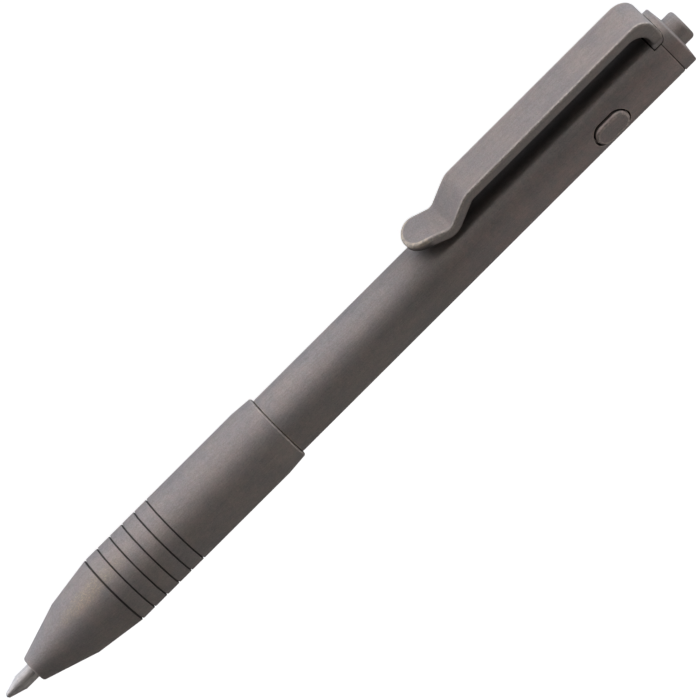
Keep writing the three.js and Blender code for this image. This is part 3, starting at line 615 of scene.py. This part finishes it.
def painted_shade_by_place(finish, bright, painted_shade, edge, clouds, rubbed):
    """Colour and painted shade by the place on the pen. The barrel is painted darker under the clip,
    as the clip's shadow, and the gaps round the clip's foot get painted shade. It is browner on its
    button side, and the clip's lip has a golden rim, of wear and painted highlight, over a side with
    painted shade."""
    here = finish.place()
    lengthwise, towards_clip, towards_button = (
        finish.node("ShaderNodeSeparateXYZ", {}, {"Vector": here}, name) - start / MM
        for name, start in zip("XYZ", (BALL_X, AXIS_Y, AXIS_Z)))
    radius = (towards_button * towards_button + towards_clip * towards_clip).math("SQRT")
    side = towards_button.math("ABSOLUTE")
    # Painted shadow of the clip on the barrel beneath it.
    shade = side.band(*SHADE_WIDTH) * towards_clip.band(*SHADE_SIDE) * radius.band(*SHADE_RADIUS)
    shade = shade * lengthwise.band(*SHADE_FRONT) * lengthwise.band(*SHADE_REAR) * SHADE_SHARE
    # Painted shade in the gaps round the clip's foot.
    seam_shade = radius.band(*SEAM_RADIUS) * lengthwise.band(*SEAM_FRONT) * lengthwise.band(*SEAM_REAR)
    browned = lengthwise.band(*BROWN_FRONT) * towards_button.band(*BROWN_SIDE)
    brown = finish.mix(1.0, bright, BROWN_TINT, "MULTIPLY")
    bright = finish.mix(browned * clouds.band(0.42, 0.55, 0.5, 1.0), bright, brown)
    # The lip's golden rim is wear and a painted highlight, and its lower side towards the barrel gets
    # painted shade.
    lip = lengthwise.band(*LIP_REAR) * radius.band(*LIP_RADIUS)
    rim = edge.band(*LIP_RIM) * lip * rubbed.band(0.35, 0.6, 0.4, 0.9)
    bright = finish.mix(rim * LIP_RIM_SHARE, bright, LIP_GOLD)
    lip_shade = lip * towards_clip.band(*LIP_SHADE) * LIP_SHADE_SHARE
    return bright, painted_shade + lip_shade + shade + seam_shade


def slot_patch(outer, inner, corners_x, columns):
    """Grid of rings from the bore's skin, up the slot's wall and out over the barrel's skin. In plan, a
    point of the slot's edge is the foot point on the slot's middle line plus its half width towards the
    point of the patch's border; heights are the root of radius squared less the width squared."""
    straight = np.sort(corners_x)
    side = math.pi / 2 + 2 * math.pi / SIDES * np.arange(-columns, columns + 1)
    rings, edges = [], []

    def border(radius):
        """The patch's four sides in plan: straight along x, and radius times cosine across."""
        width = radius * np.cos(side)
        steps, turns = len(straight) - 1, 2 * columns
        plan_x = np.concatenate([
            straight[:-1], np.full(turns, straight[-1]), straight[:0:-1], np.full(turns, straight[0])])
        plan_width = np.concatenate([
            np.full(steps, width[0]), width[:-1], np.full(steps, width[-1]), width[:0:-1]])
        return np.stack([plan_x - BUTTON_X, plan_width], 1)

    def height(plan, radius):
        """Height of a round skin over a place in plan."""
        return np.sqrt(radius ** 2 - plan[:, 1] ** 2)

    def add_ring(plan, level, edge):
        """Adds the ring over a line in plan, at its levels, with one distance from the edge."""
        rings.append(np.stack([plan[:, 0], plan[:, 1], level], 1))
        edges.append(edge)

    outside, inside = border(outer), border(inner)
    spine_x = np.clip(outside[:, 0], -SLOT_REACH, SLOT_REACH) + SLOT_SHIFT
    spine = np.stack([spine_x, np.zeros(len(outside))], 1)
    away = outside - spine
    away /= np.linalg.norm(away, axis=1)[:, None]
    wall = spine + away * SLOT_HALF_WIDTH
    for share in np.linspace(0, 1, 5):
        plan = inside + (wall - inside) * share
        add_ring(plan, height(plan, inner), NO_EDGE)
    foot, top = height(wall, inner), height(wall, outer) - SLOT_EDGE
    # The slot's wall gets painted shade.
    for share in (0.3, 0.7):
        add_ring(wall, foot * (1 - share) + top * share, SHADE_MARK)
    for angle in np.linspace(0, math.pi / 2, ARC_POINTS):
        plan = wall + away * SLOT_EDGE * (1 - math.cos(angle))
        drop = SLOT_EDGE * (1 - math.sin(angle))
        add_ring(plan, height(plan, outer) - drop, 0.0)
    lip = wall + away * SLOT_EDGE
    for share in (0.1, 0.25, 0.5, 0.75, 1.0):
        plan = lip + (outside - lip) * share
        add_ring(plan, height(plan, outer), share * 2)
    points = np.stack(rings)
    points[..., 0] += BUTTON_X
    edge = np.repeat(np.array(edges), points.shape[1])
    return points.reshape(-1, 3), ring_quads(len(rings), points.shape[1], False, True), edge


def prism(name, outline, low, high):
    """Closed prism. Its outline, of x and the height towards the clip, runs across the pen from low to
    high, which are places towards the side button."""
    outline = np.asarray(outline, float)
    count = len(outline)
    centre = outline.mean(0)
    rows = []
    for flat, level in ((centre, low), (outline, low), (outline, high), (centre, high)):
        flat = np.broadcast_to(flat, (count, 2))
        rows.append(np.stack([flat[:, 0], flat[:, 1], np.full(count, level)], 1))
    points = np.concatenate(rows)
    return shape(name, points, ring_quads(4, count, False, True), np.full(len(points), NO_EDGE))


def round_bar(name, from_x, to_x, radius):
    """Round bar along the pen's axis."""
    outline = np.array([(from_x, 0), (from_x, radius), (to_x, radius), (to_x, 0)])
    points, _, edge = revolved(outline, np.full(4, NO_EDGE))
    return shape(name, points, ring_quads(4, SIDES, False, True), edge)


def block(name, low, high):
    """Box between two corners."""
    outline = [(low[0], low[1]), (high[0], low[1]), (high[0], high[1]), (low[0], high[1])]
    return prism(name, outline, low[2], high[2])


def worked(made, operation, other):
    """Applies a boolean with another solid, which is then thrown away."""
    step = made.modifiers.new("work", "BOOLEAN")
    step.operation, step.solver, step.object = operation, "EXACT", other
    bpy.context.view_layer.update()
    result = bpy.data.meshes.new_from_object(made.evaluated_get(bpy.context.evaluated_depsgraph_get()))
    made.modifiers.remove(step)
    old, made.data = made.data, result
    result.name = made.name
    bpy.data.meshes.remove(old)
    bpy.data.objects.remove(other)
    return made


def foot_outline(top, gap):
    """Side view of the clip's foot, grown by a gap: a box with its lower rear corner round."""
    angle = np.linspace(-math.pi / 2, 0, 16)
    radius = FOOT_CORNER + gap
    corner = np.stack([
        LEG_REAR_X - FOOT_CORNER + radius * np.cos(angle),
        FOOT_FLOOR + FOOT_CORNER + radius * np.sin(angle)], 1)
    front, rear = FOOT_X - gap, LEG_REAR_X + gap
    return np.concatenate([[(front, top), (front, FOOT_FLOOR - gap)], corner, [(rear, top)]])


shaded_titanium = stonewashed_titanium("shaded_titanium", painted_shade_by_place)
patch_x = np.linspace(BUTTON_X - PATCH_HALF, BUTTON_X + PATCH_HALF, PATCH_ROWS)
crest_rows = [(x, BARREL_RADIUS, 0) for x in patch_x[::2]]
bore_rows = [(x, REAR_BORE, 0) for x in patch_x[::-2]]
spigot_rows = [(x, SPIGOT_RADIUS, 0) for x in np.linspace(SPIGOT_X + 0.5, GLAND_X - 0.15, SPIGOT_ROWS)]
barrel_outline, barrel_edge = eased([
    (SPIGOT_X, SPIGOT_BORE, 0.05), (SPIGOT_X, SPIGOT_RADIUS - 0.35, 0.05),
    (SPIGOT_X + 0.35, SPIGOT_RADIUS, 0.1), *spigot_rows, (GLAND_X, SPIGOT_RADIUS, 0.05),
    (GLAND_X, GLAND_RADIUS, 0.1), (GLAND_END_X, GLAND_RADIUS, 0.1), (GLAND_END_X, SPIGOT_RADIUS, 0.05),
    (SHOULDER_X, SPIGOT_RADIUS, 0.05), (SHOULDER_X, BARREL_RADIUS, 0.12), *crest_rows,
    (CAP_X - JOINT_SLIT, BARREL_RADIUS, 0.05), (CAP_X - JOINT_SLIT, JOINT_FLOOR, 0.02),
    (CAP_X - JOINT_GAP, JOINT_FLOOR, 0.01), (CAP_X - JOINT_GAP, REAR_BORE, 0.05), *bore_rows,
    (REAR_BORE_X, REAR_BORE, 0.05), (REAR_BORE_X, TUBE_BORE, 0.05), (TUBE_BORE_X, TUBE_BORE, 0.05),
    (TUBE_BORE_X, SPIGOT_BORE, 0.05)])
spigot_thread = thread(SPIGOT_RADIUS, SPIGOT_X + 0.55, GLAND_X - 0.2, SPIGOT_RISE)
points, quads, edges = revolved(barrel_outline, barrel_edge, SIDES, spigot_thread)
middle_of_quad = points[quads].mean(1)
from_button = np.abs(np.arctan2(middle_of_quad[:, 2], middle_of_quad[:, 1]) - math.pi / 2)
in_patch = (np.abs(middle_of_quad[:, 0] - BUTTON_X) < PATCH_HALF) & (
    from_button < 2 * math.pi / SIDES * PATCH_COLUMNS)
patch_points, patch_quads, patch_edges = slot_patch(BARREL_RADIUS, REAR_BORE, patch_x, PATCH_COLUMNS)
quads = np.concatenate([quads[~in_patch], patch_quads + len(points)])
points = np.concatenate([points, patch_points])
barrel = shape("barrel_tube", points, quads, np.concatenate([edges, patch_edges]))
notch = foot_outline(NOTCH_TOP, FOOT_SLIT) - np.array([NOTCH_SHIFT, 0])
worked(barrel, "DIFFERENCE", prism("notch", notch, -NOTCH_HALF, NOTCH_HALF))
finished(barrel, "barrel_body", "titanium", shaded_titanium, "barrel")

# End cap. A short titanium cap pressed into the barrel's rear end, with a slightly coned end face and
# the bore that guides the end button. The clip's foot crosses its joint with the barrel. Its edges and
# those of the end button are rubbed less than the others, so their lighter rims of wear and painted
# highlight are fainter.
CAP_FRONT_X = 121.75
CAP_REAR_X = 133.02
CAP_PLUG = 4.05
CAP_BORE, CAP_BORE_END_X = 2.95, 129.45
KNOB_BORE = 2.535
KEYWAY_LOW, KEYWAY_HIGH = (120.5, 3.3, -1.7), (CAP_X, BARREL_RADIUS, 1.7)
DULL_EDGE = 0.13
cap_outline, cap_edge = eased([
    (CAP_FRONT_X, CAP_BORE, 0.05), (CAP_FRONT_X, CAP_PLUG - 0.1, 0.05),
    (CAP_FRONT_X + 0.1, CAP_PLUG, 0.05), (CAP_X + JOINT_GAP, CAP_PLUG, 0.03),
    (CAP_X + JOINT_GAP, JOINT_FLOOR, 0.01), (CAP_X + JOINT_SLIT, JOINT_FLOOR, 0.02),
    (CAP_X + JOINT_SLIT, BARREL_RADIUS, 0.05), (CAP_REAR_X - 0.29, BARREL_RADIUS, 0.28),
    (CAP_REAR_X, KNOB_BORE + 0.1, 0.05), (CAP_REAR_X - 0.1, KNOB_BORE, 0.05),
    (CAP_BORE_END_X, KNOB_BORE, 0.05), (CAP_BORE_END_X, CAP_BORE, 0.05)])
cap = shape("rear_cap", *revolved(cap_outline, np.maximum(cap_edge, DULL_EDGE)))
worked(cap, "DIFFERENCE", prism("notch", notch, -NOTCH_HALF, NOTCH_HALF))
worked(cap, "DIFFERENCE", block("keyway", KEYWAY_LOW, KEYWAY_HIGH))
finished(cap, "barrel_body", "titanium", shaded_titanium, "end_cap")

# End button. A turned titanium knob, pressed on to the rear end of the plunger's rod, with a flange that
# stays inside the cap.
KNOB_SIDES = 160
KNOB_X = 135.0
KNOB_RADIUS = 2.435
FLANGE_X, FLANGE_END_X, FLANGE_RADIUS = 122.35, 122.93, 2.85
ROD_HOLE, ROD_HOLE_END_X = 1.35, 129
knob_outline, knob_edge = eased([
    (FLANGE_X, ROD_HOLE, 0.05), (FLANGE_X, FLANGE_RADIUS, 0.05), (FLANGE_END_X, FLANGE_RADIUS, 0.05),
    (FLANGE_END_X, KNOB_RADIUS, 0.05), (KNOB_X, KNOB_RADIUS, 0.6), (KNOB_X, 0, 0), (ROD_HOLE_END_X, 0, 0),
    (ROD_HOLE_END_X, ROD_HOLE, 0.05)])
knob = shape("end_knob", *revolved(knob_outline, np.maximum(knob_edge, DULL_EDGE), KNOB_SIDES))
finished(knob, "plunger", "titanium", titanium, "end_button")

# Side button. Milled titanium with round ends and a flat top, which stands a little proud of the barrel.
# Under the wall a plate keeps it in, and two legs straddle the rod to lift the latch.
BUTTON_HALF_WIDTH = 1.765
BUTTON_REACH = 1.2
BUTTON_TOP = BARREL_RADIUS + 0.27
BUTTON_DEPTH = 1.9
BUTTON_EDGE = 0.45
WALL_SHADE_START, WALL_SHADE_FULL = 0.47, 0.56
END_POINTS = 41
EASE_POINTS = 8
PLATE_X, PLATE_END_X, PLATE_HALF = 111.45, 121.575, 1.7
PLATE_LOW, PLATE_HIGH, PLATE_RADIUS = 3.2, 4.5, 4.0
BRIDGE_END_X, BRIDGE_LOW, BRIDGE_HIGH = 113.05, 2.4, 3.35
LEG_INNER, LEG_OUTER = 1.45, 2.1
LEG_LOW, LEG_HIGH = -2.2, 2.45


def round_ended(name, centre_x, reach, radius, top, bottom, ease):
    """Solid with round ends in plan: rings from the middle line of its top, over an eased edge, down its
    side and back to the middle line of its bottom. A ring's point is its foot point on the middle line
    plus radius towards its direction. Under the edge, the side is darkened as painted shade."""
    quarter = math.pi / 2
    angle = np.concatenate([
        np.linspace(-quarter, quarter, END_POINTS), np.linspace(quarter, 3 * quarter, END_POINTS)])
    spine_x = np.repeat([reach, -reach], END_POINTS)
    turn = np.linspace(quarter, 0, EASE_POINTS)
    inset = np.concatenate([[radius, radius / 2], ease * (1 - np.cos(turn)), [0, 0, 0, radius]])
    level = np.concatenate([
        [top, top], top - ease * (1 - np.sin(turn)), [top - WALL_SHADE_START, top - WALL_SHADE_FULL, bottom, bottom]])
    edge = np.concatenate([
        [NO_EDGE, radius / 2], np.zeros(EASE_POINTS - 1), [2, 20, SHADE_MARK, SHADE_MARK, NO_EDGE]])
    out = (radius - inset)[:, None]
    points = np.stack([
        centre_x + spine_x[None] + out * np.cos(angle)[None], out * np.sin(angle)[None],
        np.broadcast_to(level[:, None], (len(level), len(angle)))], -1)
    quads = ring_quads(len(level), len(angle), False, True)
    return shape(name, points.reshape(-1, 3), quads, np.repeat(edge, len(angle)))


button = round_ended(
    "release_key", BUTTON_X, BUTTON_REACH, BUTTON_HALF_WIDTH, BUTTON_TOP, BUTTON_TOP - BUTTON_DEPTH,
    BUTTON_EDGE)
plate = block("plate", (PLATE_X, -PLATE_HALF, PLATE_LOW), (PLATE_END_X, PLATE_HALF, PLATE_HIGH))
worked(plate, "INTERSECT", round_bar("under_wall", PLATE_X - OVERRUN, PLATE_END_X + OVERRUN, PLATE_RADIUS))
worked(button, "UNION", plate)
worked(button, "UNION", block(
    "bridge", (PLATE_X, -LEG_OUTER, BRIDGE_LOW), (BRIDGE_END_X, LEG_OUTER, BRIDGE_HIGH)))
for low, high in ((LEG_INNER, LEG_OUTER), (-LEG_OUTER, -LEG_INNER)):
    worked(button, "UNION", block("leg", (PLATE_X, low, LEG_LOW), (BRIDGE_END_X, high, LEG_HIGH)))
finished(button, "release_button", "titanium", shaded_titanium, "side_button")

# Pocket clip. Machined from titanium in one piece: a lip, a heel that rests on the barrel, a flat arm and
# a bent leg, whose foot is set flush into the notch across the joint of barrel and cap.
CLIP_HALF_WIDTH = 3.07
CLIP_WALL = 1.65
CLIP_TOP = 9.2
SEAT_GAP = 0.05
ARM_EDGE, LIP_EDGE = 0.24, 0.45
LEG_FRONT_X = LEG_REAR_X - 1.92
LIP_X = LEG_REAR_X - 46.49
HEEL_X = LIP_X + 6.21
FLAT_X = HEEL_X + 5.34
HEEL_DROP = CLIP_TOP - CLIP_WALL - BARREL_RADIUS - SEAT_GAP
LIP_DROP = 0.87
BEND, LIP_BEND = 2.0, 3.7
SHOULDER_OUTER, SHOULDER_INNER = 2.8, 2.5
LIP_POINTS = 61
STRAIGHT_POINTS, BOW_POINTS, HEEL_POINTS, ARM_POINTS = 8, 16, 24, 30
SHOULDER_POINTS, CORNER_POINTS = 32, 12
UNDER_SHADE_START, UNDER_SHADE_FULL = 32.0, 46.0
FOOT_TOP = BARREL_RADIUS + 0.5
FOOT_GROWTH = 0.004
TOE_LENGTH, TOE_LOW, TOE_HIGH, TOE_HALF = 0.9, 3.4, 4.12, 1.6


def bend_slope(drop, run, radii):
    """Slope of the straight between two arcs that turn opposite ways and are a drop and a run apart,
    where radii is the sum of their radii."""
    reach = math.hypot(run, radii - drop)
    return math.atan2(run, radii - drop) - math.acos(radii / reach)


def bow(x, z, radius, start, stop, count):
    """Points of an arc in side view, from its centre."""
    angle = np.linspace(start, stop, count)
    return np.stack([x + radius * np.cos(angle), z + radius * np.sin(angle)], 1)


def clip_faces():
    """Outer and inner face of the clip's strip in side view, as pairs of points with the same place
    along it: from the lip over the heel to the arm, round the shoulder and down the leg."""
    middle = CLIP_TOP - CLIP_WALL / 2
    fall = bend_slope(HEEL_DROP, FLAT_X - HEEL_X, 2 * BEND)
    lift = bend_slope(HEEL_DROP - LIP_DROP, HEEL_X - LIP_X - CLIP_WALL, BEND + LIP_BEND)
    quarter = math.pi / 2
    faces = []
    for offset in (CLIP_WALL / 2, -CLIP_WALL / 2):
        lip_x, lip_top = LIP_X + CLIP_WALL, middle - LIP_DROP + offset
        lip = np.linspace((LIP_X, lip_top), (lip_x, lip_top), HEEL_POINTS)[:-1]
        first = bow(
            lip_x, middle - LIP_DROP - LIP_BEND, LIP_BEND + offset, quarter, quarter - lift, BOW_POINTS)
        second = bow(
            HEEL_X, middle - HEEL_DROP + BEND, BEND - offset, -quarter - lift, -quarter + fall, HEEL_POINTS)
        third = bow(FLAT_X, middle - BEND, BEND + offset, quarter + fall, quarter, BOW_POINTS)
        outside = offset > 0
        radius = SHOULDER_OUTER if outside else SHOULDER_INNER
        corner_x = (LEG_REAR_X if outside else LEG_FRONT_X) - radius
        corner_z = (CLIP_TOP if outside else CLIP_TOP - CLIP_WALL) - radius
        shoulder = bow(corner_x, corner_z, radius, quarter, 0, SHOULDER_POINTS)
        slope = np.linspace(first[-1], second[0], STRAIGHT_POINTS)[1:-1]
        rise = np.linspace(second[-1], third[0], STRAIGHT_POINTS)[1:-1]
        arm = np.linspace(third[-1], shoulder[0], ARM_POINTS)[1:-1]
        if outside:
            corner = bow(
                LEG_REAR_X - FOOT_CORNER, FOOT_FLOOR + FOOT_CORNER, FOOT_CORNER, 0, -quarter,
                CORNER_POINTS)
            leg = np.concatenate([np.linspace(shoulder[-1], corner[0], STRAIGHT_POINTS)[1:-1], corner])
        else:
            leg_points = STRAIGHT_POINTS + CORNER_POINTS - 1
            leg = np.linspace(shoulder[-1], (LEG_FRONT_X, FOOT_FLOOR), leg_points)[1:]
        faces.append(np.concatenate([lip, first, slope, second, rise, third, arm, shoulder, leg]))
    return faces


def clip_strip(name):
    """Strip with a round lip. In plan, its border is the foot point on the middle line plus half the
    width, sideways or round the lip; rings run from the middle line over the eased edge and under.
    A ring's point lies between the outer and the inner face, which are blended by its depth. The side
    that faces the barrel is partly darkened as painted shade, fading in over its lower rounding."""
    outer, inner = clip_faces()
    steps = np.linalg.norm(np.diff((outer + inner) / 2, axis=0), axis=1)
    travel = np.concatenate([[0], np.cumsum(steps)])
    straight = travel[travel > CLIP_HALF_WIDTH]
    lip_turn = np.linspace(-math.pi / 2, math.pi / 2, LIP_POINTS)[1:-1]
    count = len(straight) + 1
    spine = np.concatenate([straight[::-1], np.full(LIP_POINTS, CLIP_HALF_WIDTH), straight])
    out_along = np.concatenate([np.zeros(count), -np.cos(lip_turn), np.zeros(count)])
    out_across = np.concatenate([-np.ones(count), np.sin(lip_turn), np.ones(count)])
    turn = np.linspace(math.pi / 2, 0, EASE_POINTS)[:, None]
    rim = np.interp(spine, (CLIP_HALF_WIDTH + 0.5, CLIP_HALF_WIDTH + 3.5), (LIP_EDGE, ARM_EDGE))[None]
    flat = np.repeat(np.array([[CLIP_HALF_WIDTH], [1.6], [0.8]]), len(spine), 1)
    inset = np.concatenate([
        flat, rim * (1 - np.cos(turn)), 0 * rim, rim * (1 - np.cos(turn[::-1])), flat[::-1]])
    depth = np.concatenate([
        0 * flat, rim * (1 - np.sin(turn)), CLIP_WALL / 2 + 0 * rim, rim * (np.sin(turn[::-1]) - 1),
        0 * flat])
    upper_rows = len(flat) + EASE_POINTS + 1
    below = np.repeat([0.0, 1.0], (upper_rows, upper_rows - 1))[:, None]
    edge = np.concatenate([
        [NO_EDGE, 1.0, 0.3], np.zeros(EASE_POINTS), [0.4],
        np.linspace(UNDER_SHADE_START, UNDER_SHADE_FULL, EASE_POINTS), np.full(len(flat), UNDER_SHADE_FULL)])
    place = spine[None] + out_along[None] * (CLIP_HALF_WIDTH - inset)
    width = out_across[None] * (CLIP_HALF_WIDTH - inset)
    on_outer = np.stack([np.interp(place, travel, outer[:, i]) for i in (0, 1)], -1)
    on_inner = np.stack([np.interp(place, travel, inner[:, i]) for i in (0, 1)], -1)
    thick = np.linalg.norm(on_outer - on_inner, axis=-1)
    share = below + depth / thick
    side = on_outer + (on_inner - on_outer) * share[..., None]
    points = np.stack([side[..., 0], side[..., 1], width], -1)
    rows, columns = place.shape
    number = np.arange(rows * columns).reshape(rows, columns)
    close = np.stack([number[:-1, 0], number[1:, 0], number[1:, -1], number[:-1, -1]], -1)
    quads = np.concatenate([ring_quads(rows, columns, False, False), close])
    return shape(name, points.reshape(-1, 3), quads, np.repeat(edge, columns))


clip = clip_strip("clip")
foot = prism("foot", foot_outline(FOOT_TOP, FOOT_GROWTH), -BARREL_RADIUS, BARREL_RADIUS)
foot_low_x, foot_high_x = FOOT_X - OVERRUN, LEG_REAR_X + OVERRUN
worked(foot, "INTERSECT", round_bar("flush", foot_low_x, foot_high_x, BARREL_RADIUS))
worked(clip, "UNION", foot)
worked(clip, "DIFFERENCE", round_bar("seat", foot_low_x, foot_high_x, REAR_BORE))
worked(clip, "UNION", block(
    "toe", (FOOT_X - TOE_LENGTH, TOE_LOW, -TOE_HALF), (CAP_X - 0.1, TOE_HIGH, TOE_HALF)))
finished(clip, "barrel_body", "titanium", shaded_titanium, "pocket_clip")

# Stage. A white table and a plain studio: a low soft light all along the clip's side, which the metal
# mirrors, under a dimmer ceiling. The table shows white to the eye and to metal, and keeps the shadow.
FLOOR_HALF = 2000.0 * MM
FLOOR_LEVEL = -0.01 * MM
FLOOR_CORNERS = (-1, -1), (1, -1), (1, 1), (-1, 1)
FLOOR_SEEN = 0.97
FLOOR_MIRRORED = 1.04
FLOOR_NEAR, FLOOR_FAR = (0.87, 1.0, 1.17), (0.99, 1.0, 1.09)
MIRROR_BAND, TINT_BAND = (-16.0, -6.0), (4.0, 16.0)
SHADOW_REACH = 11.0 * MM
SHADOW_SEEN = 0.08
STUDIO_PEAK = 5.0
STUDIO = (
    (0, 4.8), (3, 3.2), (7, 0.7), (14, 0.22), (24, 0.0), (58, 0.0), (75, 0.06), (90, 0.125), (130, 0.30),
    (155, 0.17), (180, 0.05))
STUDIO_ENDS = 0.7
STUDIO_FRONT_SHARE, STUDIO_REAR_SHARE = 0.55, 1.45
REAR_LAMP = Vector((130, -160, 180)) * MM
REAR_LAMP_AIM = Vector((50, 0, 0)) * MM
REAR_LAMP_SIZE = 150.0 * MM
REAR_LAMP_WATTS = 0.035


def white_table():
    """White laminate. What the eye and mirrored rays see glows, besides the light that it scatters."""
    finish = Finish("white_table")
    grain = finish.noise(finish.place(), 0.05, 3.0)
    eye, mirrored, refracted = (finish.node("ShaderNodeLightPath", {}, {}, name) for name in (
        "Is Camera Ray", "Is Glossy Ray", "Is Transmission Ray"))
    across_pen = finish.node("ShaderNodeSeparateXYZ", {}, {"Vector": finish.place()}, "Y")
    open_sky = finish.node("ShaderNodeAmbientOcclusion", {"samples": 6}, {
        "Distance": SHADOW_REACH}, "AO")
    to_metal = (mirrored + refracted).clamp() * across_pen.band(*MIRROR_BAND) * open_sky
    to_eye = eye * (open_sky * SHADOW_SEEN + (1 - SHADOW_SEEN))
    tint = finish.mix(across_pen.band(*TINT_BAND), FLOOR_NEAR, FLOOR_FAR)
    glow = finish.node("ShaderNodeEmission", {}, {
        "Color": finish.mix(eye, tint, (1, 1, 1)),
        "Strength": to_eye * FLOOR_SEEN + to_metal * FLOOR_MIRRORED})
    scatter = finish.node("ShaderNodeBsdfDiffuse", {}, {
        "Color": finish.mix(grain, (0.8, 0.8, 0.8), (0.82, 0.82, 0.82))})
    both = finish.node("ShaderNodeAddShader", {}, {0: glow, 1: scatter})
    finish.feed(finish.tree.nodes["Material Output"].inputs["Surface"], both)
    return finish.material


def studio_light():
    """World whose brightness depends on the angle from the clip side's horizon over the ceiling, and
    rises towards the pen's rear end. The eye sees it white."""
    world = bpy.data.worlds.new("studio")
    sky = Nodes(world)
    direction = sky.node("ShaderNodeTexCoord", {}, {}, "Generated")
    rearward, clipward, upward = (
        sky.node("ShaderNodeSeparateXYZ", {}, {"Vector": direction}, name) for name in "XYZ")
    stops = [(place / 180, (level / STUDIO_PEAK,) * 3) for place, level in STUDIO]
    light = sky.node("ShaderNodeBackground", {}, {
        "Color": sky.node("ShaderNodeValToRGB", {"stops": stops}, {
            0: upward.math("ARCTAN2", clipward) / math.pi}),
        "Strength": sky.node("ShaderNodeMapRange", {}, {
            "Value": rearward, "From Min": -STUDIO_ENDS, "From Max": STUDIO_ENDS,
            "To Min": STUDIO_FRONT_SHARE * STUDIO_PEAK, "To Max": STUDIO_REAR_SHARE * STUDIO_PEAK})})
    white = sky.node("ShaderNodeBackground", {}, {"Color": (1, 1, 1)})
    eye = sky.node("ShaderNodeLightPath", {}, {}, "Is Camera Ray")
    shown = sky.node("ShaderNodeMixShader", {}, {0: eye, 1: light, 2: white})
    sky.feed(sky.tree.nodes["World Output"].inputs["Surface"], shown)
    return world


bpy.context.scene.world = studio_light()
lamp_data = bpy.data.lights.new("rear_lamp", "AREA")
lamp_data.size, lamp_data.energy = REAR_LAMP_SIZE, REAR_LAMP_WATTS
lamp = bpy.data.objects.new("rear_lamp", lamp_data)
lamp_turn = (REAR_LAMP - REAR_LAMP_AIM).to_track_quat("Z", "Y").to_matrix().to_4x4()
lamp.matrix_world = Matrix.Translation(REAR_LAMP) @ lamp_turn
bpy.context.scene.collection.objects.link(lamp)
bpy.context.scene.view_settings.view_transform = "Standard"
floor_mesh = bpy.data.meshes.new("table")
floor_mesh.from_pydata(
    [(x * FLOOR_HALF, y * FLOOR_HALF, FLOOR_LEVEL) for x, y in FLOOR_CORNERS], [], [(0, 1, 2, 3)])
floor_mesh.materials.append(white_table())
floor = bpy.data.objects.new("table", floor_mesh)
bpy.context.scene.collection.objects.link(floor)
